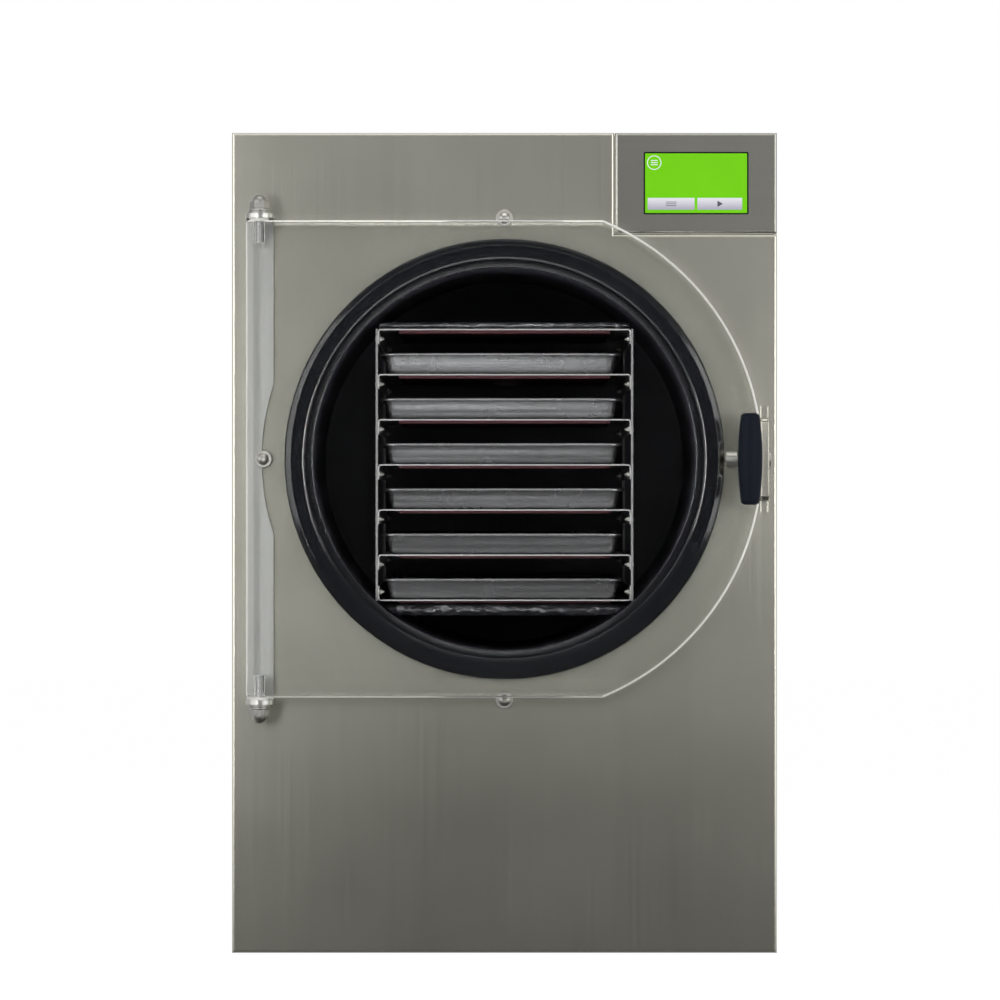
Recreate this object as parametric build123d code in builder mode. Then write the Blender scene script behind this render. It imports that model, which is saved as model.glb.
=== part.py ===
from build123d import *
import os
from math import cos, radians, sin, sqrt

# A home freeze dryer: a steel cabinet with a round vacuum chamber, a thick clear door on two hinge
# pins, a rack of heated shelves with food trays, and the refrigeration machinery below.
#
# Millimetres.  X runs to the right of a person who faces the door, Y from front to back, Z up.
# The origin is on the floor, in the middle of the overall box.
# "Ahead" is a distance in front of the front panel's face, and behind it where it is negative.

os.makedirs("parts", exist_ok=True)

# ---------------------------------------------------------------- driving dimensions

# cabinet
cabinet_width = 514.4
cabinet_height = 774.0  # without the feet
cabinet_depth = 600.0
sheet = 1.5
bend = 2.3  # outside radius of a folded edge
return_depth = 18.0  # how far the front sheets are folded back
flange = 15.0  # in-turned flange of the wrap
seam = 1.2  # gap between two sheets of the front
fit = 0.3  # gap between parts that are screwed or welded together
foot_height = 2.0
foot_radius = 16.0
foot_inset = 40.0
pan_wall = 30.0
deck_height = 236.0
deck_flange = 20.0

# side louvres of the wrap
louvre_length = 150.0
louvre_width = 5.0
louvre_pitch = 14.0
louvre_count = 8
louvre_height = 120.0

# control fascia and touch screen
fascia_width = 152.6
fascia_height = 94.8
screen_width = 98.2
screen_height = 58.2
screen_thickness = 1.8
screen_gap = 0.4
screen_recess = 0.2
screen_corner = 1.0
edge_search = 0.1  # either side of a plane that edges are picked on
module_border = 4.0
module_depth = 9.0
board_width = 126.0
board_height = 76.0
board_thickness = 1.6
standoff_length = 5.5
standoff_radius = 3.0

# vacuum chamber
chamber_rise = 18.0  # of its foam above the deck
chamber_radius = 181.0  # inside
chamber_wall = 3.0
chamber_behind = 13.0  # behind the rack
head_wall = 6.0
rim_width = 16.0
rim_front = 16.0
rim_thickness = 6.0
lug_width = 44.0
lug_reach = 40.0  # beyond the rim
lug_thickness = 3.0
bolt_reach = 27.5  # beyond the rim
bolt_radius = 3.0
bolt_clearance = 0.3
bolt_head_radius = 5.6
bolt_head_height = 4.2
bolt_flange_radius = 8.2
bolt_flange = 1.2
bolt_length = 12.0

# door gasket
gasket_cover = 7.2  # over the rim's edge
gasket_lip = 1.0  # inside the drum's bore
gasket_shoulder = 7.5  # outside the drum's bore
gasket_front = 22.0
gasket_skirt = 3.8
gasket_edge = 3.0
gasket_lip_drop = 3.6
gasket_hook_reach = 10.0
gasket_hook = 3.7
relief_depth = 5.5  # of the notch that clears the latch's collar
relief_height = 24.5
relief_length = 12.0
rubber_gap = 0.3

# cooling of the chamber
coil_gap = 0.3
coil_height = 8.0
coil_width = 12.0
coil_count = 3
coil_front = 120.0  # of the first turn behind the front panel
coil_rear = 125.0  # of the last turn ahead of the drum's back
coil_opening = 20.0  # degrees left open at the bottom of each turn
coil_link_angle = 6.0
coil_link_inset = 1.0
coil_tail_radius = 4.0
jacket_cover = 21.7
jacket_margin = 30.0
saddle_thickness = 3.0
saddle_half_width = 150.0
saddle_height = 95.0
saddle_foot = 30.0
saddle_front = 58.0
saddle_rear = 65.0  # ahead of the drum's back

# door
door_gap = 0.2  # to the gasket
door_thickness = 25.4
door_overlap = 35.2  # beyond the gasket at the round side
door_rise = 16.6  # beyond the gasket at the top and bottom
door_edge = 1.2
door_corner = 3.0

# hinge
hinge_offset = 12.0  # of the pins from the door's straight edge
hinge_width = 25.4
hinge_plate = 4.0
hinge_bend = 7.0
hinge_relief = 21.8  # between the gasket and the bracket's round edge
pin_radius = 5.0
pin_running = 0.05
pin_depth = 20.0
pin_end_gap = 0.5
bush_radius = 9.0
bush_thickness = 2.6
bush_gap = 0.1
washer_radius = 10.0
washer_thickness = 2.0
nut_flats = 17.0
nut_height = 8.0
nut_dome_radius = 7.6
nut_wall = 2.0

# latch
latch_inset = 12.5  # of the shaft from the door's round edge
shaft_radius = 5.0
shaft_rear = 4.6
shaft_collar_radius = 8.0
shaft_collar = 1.6
shaft_collar_gap = 0.2
cross_pin_ahead = 11.0
cross_pin_radius = 3.0
cross_pin_half = 21.5
collar_radius = 7.25
collar_length = 10.0
collar_end = 0.5
handle_gap = 0.4
handle_half_height = 43.0
handle_radius = 11.6
handle_end_radius = 8.4
handle_edge = 2.4
handle_neck = 7.0
hub_radius = 9.5
keeper_left = 11.0  # of the keeper's edge from the latch shaft
keeper_width = 8.4
keeper_plate = 2.4
keeper_gap = 0.35
keeper_half_height = 50.0
keeper_foot = 13.0
keeper_bend = 3.0
keeper_lead = 1.5

# rack and trays
rack_side = 7.2  # between a tray and the outside of the uprights
rack_front = 6.0
rack_overhang = 4.65  # beyond a tray at each end
upright_thickness = 2.0
upright_depth = 25.0
shelf_sheet = 1.2
shelf_flange = 14.0
shelf_bend = 3.0
shelf_gap = 0.1
shelf_count = 7
mat_side_margin = 19.4
mat_end_margin = 25.0
mat_thickness = 2.5
pad_thickness = 6.6
pad_end_margin = 7.0
pad_clearance = 4.783  # between the top pad's corners and the drum
pad_round = 2.0
lower_pad_thickness = 11.5
tray_width = 228.6
tray_length = 520.7
tray_height = 20.0
tray_sheet = 0.8
tray_corner = 9.0
tray_flange = 5.3
tray_slope = 7.0
tray_hem = 3.0
tray_gap = 0.05

# machinery
compressor_x = 112.0
compressor_behind = 440.0  # of its axis behind the front panel
compressor_radius = 70.0
compressor_height = 166.0
compressor_shoulder = 24.0
compressor_foot_length = 180.0
compressor_foot_width = 130.0
compressor_foot_sheet = 3.0
compressor_foot_round = 12.0
terminal_box = (36.0, 22.0, 50.0)
grommet_radius = 10.0
grommet_height = 10.0
grommet_inset = 14.0
fan_x = -115.0
fan_height = 126.0
fan_radius = 80.0
fan_clearance = 5.0
fan_hub_radius = 26.0
fan_hub_length = 16.0
fan_hub_gap = 6.0  # between the shroud's plate and the hub
fan_blades = 5
fan_chord = 46.0
fan_root_chord = 30.0
fan_pitch = 24.0
fan_blade_sheet = 1.5
duct_length = 30.0
shroud_width = 216.0
shroud_height = 196.0
shroud_box = 30.0
motor_radius = 30.0
motor_length = 26.0
motor_shaft_radius = 4.0
motor_arm_width = 10.0
motor_arm_sheet = 2.5
motor_arm_reach = 9.0  # beyond the duct's wall
condenser_depth = 44.0
condenser_core = 14.0
condenser_fins = 13
condenser_fin = 1.2
condenser_end = 3.0
drier_radius = 10.0
drier_length = 84.0
drier_neck = 10.0
drier_cone = 6.0
line_radius = 4.0
liquid_height = 60.0
suction_height = 150.0
discharge_height = 160.0
discharge_x = -15.0

# rear fittings
port_rise = 57.5  # above the chamber's axis
port_flange_radius = 22.0
port_flange = 4.0
port_neck_radius = 14.0
port_neck = 12.0  # outside the rear panel
port_radius = 9.5
port_length = 20.0
port_bore = 7.0
port_chamfer = 1.0
drain_rise = 31.0  # above the drum's lowest line
drain_pipe_radius = 6.35
drain_bore = 4.0
valve_stand = 8.0
valve_half = 13.0
valve_length = 34.0
plug_radius = 7.0
plug_half_height = 9.0
barb_radius = 5.0
barb_length = 22.0
barb_ring = 1.0
barb_rings = 2
stem_radius = 3.0
stem_boss_radius = 7.0
stem_boss = 7.0
stem_end = 3.0
lever_gap = 0.2
lever_length = 62.0
lever_width = 14.0
lever_thickness = 2.5
lever_grip = 36.0
lever_grip_thickness = 7.0
entry_x = 205.0
entry_height = 150.0
entry_width = 34.0
entry_tall = 62.0
entry_inside = 24.0
entry_lip = 3.0
entry_lip_border = 3.0
inlet_width = 24.0
inlet_tall = 16.5
inlet_depth = 16.0
inlet_drop = 15.0
contact_size = (2.0, 4.0, 14.0)
contact_pitch = 7.0
switch_rise = 16.0
switch_width = 19.0
switch_tall = 22.0
switch_depth = 12.0
rocker_gap = 0.4
rocker_tilt = 8.0
rocker_pivot_radius = 1.5
rocker_pivot = 1.4
rocker_crest = 1.4  # of its two ends beyond the lip
rocker_dip = 0.6  # of its middle below them
rocker_draft = 0.8
grille_slot = 7.0
grille_pitch = 13.0
grille_rib = 8.0
panel_hole_gap = 2.0

# ---------------------------------------------------------------- sizes that follow

half_width = cabinet_width / 2
floor_z = foot_height
top_z = floor_z + cabinet_height

chamber_outer = chamber_radius + chamber_wall
rim_radius = chamber_outer + rim_width
panel_opening = rim_radius + panel_hole_gap
lug_radius = rim_radius + lug_reach
bolt_circle = rim_radius + bolt_reach
coil_inner = chamber_outer + coil_gap
coil_outer = coil_inner + coil_height
jacket_radius = coil_outer + jacket_cover
chamber_z = deck_height + chamber_rise + jacket_radius
chamber_axis = Axis((0, 0, chamber_z), (0, 1, 0))
valve_z = chamber_z - chamber_radius + drain_rise

gasket_radius = rim_radius + gasket_cover
gasket_lip_radius = chamber_radius - gasket_lip
gasket_shoulder_radius = chamber_radius + gasket_shoulder
gasket_hook_radius = rim_radius - gasket_hook_reach

door_radius = gasket_radius + door_overlap
door_half_height = gasket_radius + door_rise
door_back = gasket_front + door_gap
door_front = door_back + door_thickness
pin_ahead = (door_back + door_front) / 2
handle_ahead = door_front + handle_gap + handle_neck + handle_radius
front_reach = handle_ahead + handle_radius
rear_reach = valve_stand + valve_length + barb_length

front_y = -(cabinet_depth + front_reach + rear_reach) / 2 + front_reach
rear_y = front_y + cabinet_depth
wrap_front_y = front_y + return_depth + fit
wrap_rear_y = rear_y - sheet
inner_front_y = wrap_front_y + sheet + fit
inner_rear_y = wrap_rear_y - sheet - fit
inner_half_width = half_width - sheet - fit
inner_depth = inner_rear_y - inner_front_y
inner_y = (inner_front_y + inner_rear_y) / 2
pan_top = floor_z + sheet

rack_half_width = tray_width / 2 + rack_side
rack_depth = tray_length + 2 * rack_overhang
rack_y = front_y + rack_front + rack_depth / 2
lowest_corner = chamber_radius - rubber_gap
rack_bottom = -sqrt(lowest_corner**2 - rack_half_width**2)  # from the chamber's axis
shelf_half_width = rack_half_width - upright_thickness - shelf_gap
top_shelf = sqrt((chamber_radius - pad_clearance) ** 2 - shelf_half_width**2) - pad_thickness
shelf_pitch = (top_shelf - rack_bottom - shelf_sheet) / (shelf_count - 1)
shelf_tops = [top_shelf - shelf_pitch * i for i in range(shelf_count)]
mat_width = 2 * (shelf_half_width - mat_side_margin)
mat_depth = rack_depth - 2 * mat_end_margin
pad_depth = rack_depth - 2 * pad_end_margin

chamber_depth = rack_front + rack_depth + chamber_behind + head_wall  # from the front panel's face
head_y = front_y + chamber_depth
coil_pitch = (chamber_depth - coil_front - coil_rear) / (coil_count - 1)
tail_x = (coil_inner + coil_height / 2) * sin(radians(coil_opening / 2))
tail_side = 1 if coil_count % 2 == 0 else -1
front_tail = (-tail_side * tail_x, front_y + coil_front)
rear_tail = (-tail_x, head_y - coil_rear)
tails = [front_tail, rear_tail]

fascia_x = half_width - fascia_width / 2
fascia_z = top_z - fascia_height / 2
notch_x = half_width - fascia_width - seam
notch_z = top_z - fascia_height - seam

hinge_x = -door_radius + hinge_offset
hinge_y = front_y - pin_ahead
tab_inner = door_half_height + bush_thickness + 2 * bush_gap  # from the chamber's axis
tab_outer = tab_inner + hinge_plate
latch_x = door_radius - latch_inset
hinge_relief_radius = gasket_radius + hinge_relief


def ahead(distance):
    """The plane parallel to the front panel, this far ahead of its face; it looks forward."""
    return Plane.XZ.offset(distance - front_y)


def section(radius, distance):
    """A point of a profile that is turned about the chamber's axis."""
    return (front_y - distance, chamber_z + radius)


# ---------------------------------------------------------------- cabinet

with BuildPart() as base_pan:
    with BuildSketch(Plane.XY.offset(floor_z)):
        with Locations((0, inner_y)):
            Rectangle(2 * inner_half_width, inner_depth)
    extrude(amount=pan_wall)
    fillet(base_pan.edges().group_by(Axis.Z)[0], bend)
    offset(amount=-sheet, openings=base_pan.faces().sort_by(Axis.Z)[-1])
base_pan.part.label = "base_pan"
export_step(base_pan.part, "parts/base_pan.step")

with BuildPart() as glide_feet:
    with BuildSketch():
        with Locations((0, inner_y)):
            with GridLocations(cabinet_width - 2 * foot_inset, inner_depth - 2 * foot_inset, 2, 2):
                Circle(foot_radius)
    extrude(amount=floor_z)
glide_feet.part.label = "glide_feet"
export_step(glide_feet.part, "parts/glide_feet.step")

# One sheet folded over both sides and the top, with flanges turned in at the front and the back.
with BuildPart() as cabinet_wrap:
    with BuildSketch(Plane.XZ.offset(-wrap_rear_y)):
        with Locations((0, (floor_z + top_z) / 2)):
            Rectangle(cabinet_width, cabinet_height)
    extrude(amount=wrap_rear_y - wrap_front_y)
    fillet(cabinet_wrap.edges().filter_by_position(Axis.Z, floor_z + 1, top_z), bend)
    offset(amount=-sheet, openings=cabinet_wrap.faces().sort_by(Axis.Z)[0])
    with BuildSketch(Plane.XZ.offset(-wrap_rear_y)):
        with Locations((0, (floor_z + top_z - flange) / 2)):
            Rectangle(cabinet_width - 2 * flange, cabinet_height - flange)
    extrude(amount=wrap_rear_y - wrap_front_y, mode=Mode.SUBTRACT)
    with BuildSketch(Plane.YZ):
        with Locations((inner_y, louvre_height)):
            with GridLocations(0, louvre_pitch, 1, louvre_count):
                Rectangle(louvre_length, louvre_width)
    extrude(amount=half_width, both=True, mode=Mode.SUBTRACT)
cabinet_wrap.part.label = "cabinet_wrap"
export_step(cabinet_wrap.part, "parts/cabinet_wrap.step")

# The front sheet is notched for the fascia; every edge is folded back.
bolt_places = [(bolt_circle, 0), (0, bolt_circle), (-bolt_circle, 0), (0, -bolt_circle)]
with BuildPart() as front_panel:
    with BuildSketch(ahead(-return_depth)):
        with BuildLine():
            Polyline(
                (-half_width, floor_z),
                (half_width, floor_z),
                (half_width, notch_z),
                (notch_x, notch_z),
                (notch_x, top_z),
                (-half_width, top_z),
                close=True,
            )
        make_face()
    extrude(amount=return_depth)
    fillet(front_panel.faces().sort_by(Axis.Y)[0].edges(), bend)
    offset(amount=-sheet, openings=front_panel.faces().sort_by(Axis.Y)[-1])
    with BuildSketch(ahead(0)):
        with Locations((0, chamber_z)):
            Circle(panel_opening)
            with Locations(*bolt_places):
                Circle(bolt_radius + bolt_clearance)
    extrude(amount=-return_depth, mode=Mode.SUBTRACT)
front_panel.part.label = "front_panel"
export_step(front_panel.part, "parts/front_panel.step")

with BuildPart() as mid_deck:
    with BuildSketch(Plane.XZ.offset(-inner_rear_y)):
        with Locations((0, deck_height - deck_flange / 2)):
            Rectangle(2 * inner_half_width, deck_flange)
    extrude(amount=inner_depth)
    fillet(mid_deck.edges().filter_by(Axis.Y).group_by(Axis.Z)[-1], bend)
    offset(
        amount=-sheet,
        openings=mid_deck.faces().filter_by(Plane.XZ) + mid_deck.faces().sort_by(Axis.Z)[:1],
    )
    with BuildSketch(Plane.XY.offset(deck_height)):
        with Locations(*tails):
            Circle(coil_tail_radius + panel_hole_gap)
    extrude(amount=-2 * sheet, mode=Mode.SUBTRACT)
mid_deck.part.label = "mid_deck"
export_step(mid_deck.part, "parts/mid_deck.step")

# The rear sheet carries the fan grille and lets the fittings through.
with BuildPart() as rear_panel:
    with BuildSketch(Plane.XZ.offset(-rear_y)):
        with Locations((0, (floor_z + top_z) / 2)):
            RectangleRounded(cabinet_width - 2 * fit, cabinet_height - 2 * fit, bend)
    extrude(amount=sheet)
    with BuildSketch(Plane.XZ.offset(-rear_y)):
        with Locations((0, chamber_z + port_rise)):
            Circle(port_neck_radius + panel_hole_gap)
        with Locations((0, valve_z)):
            Circle(drain_pipe_radius + panel_hole_gap)
        with Locations((entry_x, entry_height)):
            Rectangle(entry_width + 2 * fit, entry_tall + 2 * fit)
        slot_rows = int((fan_radius - grille_slot) // grille_pitch)
        for row in range(-slot_rows, slot_rows + 1):
            row_z = row * grille_pitch
            reach = sqrt(fan_radius**2 - row_z**2)
            slot_length = reach - grille_rib / 2
            for side in (-1, 1):
                with Locations((fan_x + side * (grille_rib / 2 + slot_length / 2), fan_height + row_z)):
                    Rectangle(slot_length, grille_slot)
    extrude(amount=sheet, mode=Mode.SUBTRACT)
rear_panel.part.label = "rear_panel"
export_step(rear_panel.part, "parts/rear_panel.step")

# ---------------------------------------------------------------- controls

with BuildPart() as control_fascia:
    with BuildSketch(ahead(-return_depth)):
        with Locations((fascia_x, fascia_z)):
            Rectangle(fascia_width, fascia_height)
    extrude(amount=return_depth)
    fillet(control_fascia.faces().sort_by(Axis.Y)[0].edges(), bend)
    offset(amount=-sheet, openings=control_fascia.faces().sort_by(Axis.Y)[-1])
    with BuildSketch(ahead(0)):
        with Locations((fascia_x, fascia_z)):
            RectangleRounded(screen_width + 2 * screen_gap, screen_height + 2 * screen_gap, screen_corner + screen_gap)
    extrude(amount=-return_depth, mode=Mode.SUBTRACT)
control_fascia.part.label = "control_fascia"
export_step(control_fascia.part, "parts/control_fascia.step")

with BuildPart() as touch_screen:
    with BuildSketch(ahead(-screen_recess)):
        with Locations((fascia_x, fascia_z)):
            RectangleRounded(screen_width, screen_height, screen_corner)
    extrude(amount=-screen_thickness)
touch_screen.part.label = "touch_screen"
export_step(touch_screen.part, "parts/touch_screen.step")

with BuildPart() as display_module:
    with BuildSketch(ahead(-sheet)):
        with Locations((fascia_x, fascia_z)):
            Rectangle(screen_width + 2 * module_border, screen_height + 2 * module_border)
    extrude(amount=-module_depth)
    with BuildSketch(ahead(-sheet)):
        with Locations((fascia_x, fascia_z)):
            Rectangle(screen_width + 2 * screen_gap, screen_height + 2 * screen_gap)
    extrude(amount=-(screen_recess + screen_thickness - sheet), mode=Mode.SUBTRACT)
display_module.part.label = "display_module"
export_step(display_module.part, "parts/display_module.step")

with BuildPart() as control_board:
    with BuildSketch(ahead(-sheet - module_depth)):
        with Locations((fascia_x, fascia_z)):
            with GridLocations(screen_width - 2 * module_border, screen_height - 2 * module_border, 2, 2):
                Circle(standoff_radius)
    extrude(amount=-standoff_length)
    with BuildSketch(ahead(-sheet - module_depth - standoff_length)):
        with Locations((fascia_x, fascia_z)):
            Rectangle(board_width, board_height)
    extrude(amount=-board_thickness)
    with BuildSketch(ahead(-sheet - module_depth - standoff_length - board_thickness)):
        with Locations((fascia_x - board_width / 4, fascia_z)):
            Rectangle(board_width / 4, board_height / 2)
        with Locations((fascia_x + board_width / 4, fascia_z)):
            with GridLocations(0, board_height / 4, 1, 3):
                Rectangle(board_width / 3, board_height / 8)
    extrude(amount=-standoff_length * 2)
control_board.part.label = "control_board"
export_step(control_board.part, "parts/control_board.step")

# ---------------------------------------------------------------- vacuum chamber

# A rolled drum with a flat head welded to its back, a rim that the gasket grips and four lugs
# that bolt to the back of the front panel.
with BuildPart() as vacuum_chamber:
    with BuildSketch(Plane.YZ):
        with BuildLine():
            Polyline(
                section(chamber_radius, rim_front),
                section(rim_radius, rim_front),
                section(rim_radius, rim_front - rim_thickness),
                section(chamber_outer, rim_front - rim_thickness),
                section(chamber_outer, -chamber_depth),
                section(0, -chamber_depth),
                section(0, head_wall - chamber_depth),
                section(chamber_radius, head_wall - chamber_depth),
                close=True,
            )
        make_face()
    revolve(axis=chamber_axis)
    with BuildSketch(ahead(-sheet)):
        with Locations((0, chamber_z)):
            with PolarLocations((chamber_outer + lug_radius) / 2, 4):
                Rectangle(lug_radius - chamber_outer + chamber_wall, lug_width)
            Circle(chamber_outer - chamber_wall / 2, mode=Mode.SUBTRACT)
            with Locations(*bolt_places):
                Circle(bolt_radius + bolt_clearance, mode=Mode.SUBTRACT)
    extrude(amount=-lug_thickness)
    with BuildSketch(Plane.XZ.offset(-head_y)):
        with Locations((0, chamber_z + port_rise)):
            Circle(port_bore)
        with Locations((0, valve_z)):
            Circle(drain_bore)
    extrude(amount=head_wall, mode=Mode.SUBTRACT)
vacuum_chamber.part.label = "vacuum_chamber"
export_step(vacuum_chamber.part, "parts/vacuum_chamber.step")

# A rubber ring of C section: its groove grips the chamber's rim, and its flat face meets the door.
with BuildPart() as door_gasket:
    groove_front = rim_front + rubber_gap
    groove_back = rim_front - rim_thickness - rubber_gap
    with BuildSketch(Plane.YZ):
        with BuildLine():
            Polyline(
                section(gasket_radius, rubber_gap),
                section(gasket_radius, gasket_front),
                section(gasket_shoulder_radius, gasket_front),
                section(gasket_lip_radius, gasket_front - gasket_lip_drop),
                section(gasket_lip_radius, groove_front),
                section(rim_radius + rubber_gap, groove_front),
                section(rim_radius + rubber_gap, groove_back),
                section(gasket_hook_radius, groove_back),
                section(gasket_hook_radius, groove_back - gasket_hook),
                section(gasket_radius - gasket_skirt, groove_back - gasket_hook),
                section(gasket_radius - gasket_skirt, rubber_gap),
                close=True,
            )
        profile = make_face()
        corners = profile.vertices().sort_by_distance(section(gasket_radius, gasket_front))
        chamfer(corners[0], gasket_edge)
    revolve(axis=chamber_axis)
    with BuildSketch(ahead(gasket_front)):
        with Locations((gasket_radius, chamber_z)):
            Rectangle(2 * relief_depth, relief_height)
    extrude(amount=-relief_length, mode=Mode.SUBTRACT)
door_gasket.part.label = "door_gasket"
export_step(door_gasket.part, "parts/door_gasket.step")

# Flattened tube wrapped round the drum in turns that are open at the bottom, where links join
# each turn to the next, first on one side and then on the other.
with BuildPart() as evaporator_coil:
    for turn in range(coil_count):
        turn_back = -coil_front - coil_pitch * turn - coil_width / 2
        with BuildSketch(ahead(turn_back)):
            with BuildLine():
                rim = CenterArc((0, chamber_z), coil_outer, 270 + coil_opening / 2, 360 - coil_opening)
                bore = CenterArc((0, chamber_z), coil_inner, 270 + coil_opening / 2, 360 - coil_opening)
                Line(rim @ 0, bore @ 0)
                Line(rim @ 1, bore @ 1)
            make_face()
        extrude(amount=coil_width)
    for turn in range(coil_count - 1):
        edge = coil_opening / 2 + coil_link_angle / 4
        start = 270 + edge if (coil_count - turn) % 2 == 0 else 270 - edge - coil_link_angle
        with BuildSketch(ahead(-coil_front - coil_pitch * turn)):
            with BuildLine():
                rim = CenterArc((0, chamber_z), coil_outer - coil_link_inset, start, coil_link_angle)
                bore = CenterArc((0, chamber_z), coil_inner + coil_link_inset, start, coil_link_angle)
                Line(rim @ 0, bore @ 0)
                Line(rim @ 1, bore @ 1)
            make_face()
        extrude(amount=-coil_pitch)
    with BuildSketch(Plane.XY.offset(chamber_z - coil_inner - coil_height / 2)):
        with Locations(*tails):
            Circle(coil_tail_radius)
    extrude(amount=-(chamber_z - coil_inner - coil_height / 2 - deck_height + deck_flange))
evaporator_coil.part.label = "evaporator_coil"
export_step(evaporator_coil.part, "parts/evaporator_coil.step")

# Foam shell over the coil, bored for the coil's two tails.
jacket_front = coil_front - jacket_margin
jacket_length = coil_pitch * (coil_count - 1) + 2 * jacket_margin
with BuildPart() as insulation_jacket:
    with BuildSketch(ahead(-jacket_front)):
        with Locations((0, chamber_z)):
            Circle(jacket_radius)
            Circle(coil_outer + coil_gap, mode=Mode.SUBTRACT)
    extrude(amount=-jacket_length)
    with BuildSketch(Plane.XY.offset(chamber_z - jacket_radius)):
        with Locations(*tails):
            Circle(coil_tail_radius + fit)
    extrude(amount=jacket_radius - coil_inner, mode=Mode.SUBTRACT)
insulation_jacket.part.label = "insulation_jacket"
export_step(insulation_jacket.part, "parts/insulation_jacket.step")

# Two folded saddles stand on the deck and carry the drum, one before and one behind the jacket.
with BuildPart() as chamber_saddles:
    for distance in (saddle_front, chamber_depth - saddle_rear):
        with BuildSketch(ahead(-distance)):
            with Locations((0, deck_height + saddle_height / 2)):
                Rectangle(2 * saddle_half_width, saddle_height)
            with Locations((0, chamber_z)):
                Circle(chamber_outer + fit, mode=Mode.SUBTRACT)
        extrude(amount=-saddle_thickness)
        with BuildSketch(Plane.XY.offset(deck_height)):
            with Locations((0, front_y + distance + saddle_foot / 2)):
                Rectangle(2 * saddle_half_width, saddle_foot)
        extrude(amount=saddle_thickness)
chamber_saddles.part.label = "chamber_saddles"
export_step(chamber_saddles.part, "parts/chamber_saddles.step")

# Low-headed screws hold the lugs to the front panel.  The left one also clamps the hinge bracket, and
# the right one is flat, because the latch turns over it.
with BuildPart() as chamber_bolts:
    for x, z in bolt_places:
        seat = hinge_plate if x < 0 else 0
        with BuildSketch(ahead(seat)):
            with Locations((x, chamber_z + z)):
                Circle(bolt_flange_radius)
        extrude(amount=bolt_flange)
        if x <= 0:
            with BuildSketch(ahead(seat + bolt_flange)):
                with Locations((x, chamber_z + z)):
                    Circle(bolt_head_radius)
            extrude(amount=bolt_head_height)
            crown = chamber_bolts.faces().sort_by_distance(
                (x, front_y - seat - bolt_flange - bolt_head_height, chamber_z + z)
            )[0]
            chamfer(crown.edges(), bolt_head_height / 2)
        with BuildSketch(ahead(seat)):
            with Locations((x, chamber_z + z)):
                Circle(bolt_radius)
        extrude(amount=-bolt_length - seat)
chamber_bolts.part.label = "chamber_bolts"
export_step(chamber_bolts.part, "parts/chamber_bolts.step")

# ---------------------------------------------------------------- hinge

# One plate folded forward at both ends.  Its web is cut back round the chamber.
with BuildPart() as hinge_bracket:
    with BuildSketch(Plane.YZ.offset(hinge_x - hinge_width / 2)):
        with BuildLine():
            Polyline(
                (front_y, chamber_z - tab_outer),
                (front_y, chamber_z + tab_outer),
                (hinge_y - hinge_width / 2, chamber_z + tab_outer),
                (hinge_y - hinge_width / 2, chamber_z + tab_inner),
                (front_y - hinge_plate, chamber_z + tab_inner),
                (front_y - hinge_plate, chamber_z - tab_inner),
                (hinge_y - hinge_width / 2, chamber_z - tab_inner),
                (hinge_y - hinge_width / 2, chamber_z - tab_outer),
                close=True,
            )
        make_face()
    extrude(amount=hinge_width)
    fold = hinge_bracket.edges().filter_by(Axis.X)
    fillet(fold.group_by(Axis.Y)[-1], hinge_bend)
    fillet(
        hinge_bracket.edges().filter_by(Axis.X).filter_by_position(
            Axis.Y, front_y - hinge_plate - edge_search, front_y - hinge_plate + edge_search
        ),
        hinge_bend - hinge_plate,
    )
    with BuildSketch(Plane.XY.offset(chamber_z - tab_outer)):
        with Locations((hinge_x, (front_y + hinge_y) / 2)):
            Rectangle(hinge_width, front_y - hinge_y)
        with Locations((hinge_x, hinge_y)):
            Circle(hinge_width / 2)
    extrude(amount=2 * tab_outer, mode=Mode.INTERSECT)
    with BuildSketch(ahead(0)):
        with Locations((0, chamber_z)):
            Circle(hinge_relief_radius)
            with Locations((-bolt_circle, 0)):
                Circle(bolt_radius + bolt_clearance)
    extrude(amount=hinge_plate, mode=Mode.SUBTRACT)
    with BuildSketch(Plane.XY.offset(chamber_z - tab_outer)):
        with Locations((hinge_x, hinge_y)):
            Circle(pin_radius + pin_running)
    extrude(amount=2 * tab_outer, mode=Mode.SUBTRACT)
hinge_bracket.part.label = "hinge_bracket"
export_step(hinge_bracket.part, "parts/hinge_bracket.step")

washer_top = tab_outer + washer_thickness
nut_bore_top = washer_top + nut_height + nut_dome_radius - nut_wall
pin_inner = door_half_height - pin_depth
middle = Plane.XY.offset(chamber_z)

# Two short pins stand in the bracket's tabs and reach into the door from above and below.
with BuildPart() as hinge_pins:
    with BuildSketch(Plane.XY.offset(chamber_z + pin_inner)):
        with Locations((hinge_x, hinge_y)):
            Circle(pin_radius)
    extrude(amount=nut_bore_top - pin_end_gap - pin_inner)
    mirror(about=middle)
hinge_pins.part.label = "hinge_pins"
export_step(hinge_pins.part, "parts/hinge_pins.step")

with BuildPart() as hinge_bushes:
    with BuildSketch(Plane.XY.offset(chamber_z + door_half_height + bush_gap)):
        with Locations((hinge_x, hinge_y)):
            Circle(bush_radius)
            Circle(pin_radius + pin_running, mode=Mode.SUBTRACT)
    extrude(amount=bush_thickness)
    mirror(about=middle)
hinge_bushes.part.label = "hinge_bushes"
export_step(hinge_bushes.part, "parts/hinge_bushes.step")

with BuildPart() as hinge_washers:
    with BuildSketch(Plane.XY.offset(chamber_z + tab_outer)):
        with Locations((hinge_x, hinge_y)):
            Circle(washer_radius)
            Circle(pin_radius + pin_running, mode=Mode.SUBTRACT)
    extrude(amount=washer_thickness)
    mirror(about=middle)
hinge_washers.part.label = "hinge_washers"
export_step(hinge_washers.part, "parts/hinge_washers.step")

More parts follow.
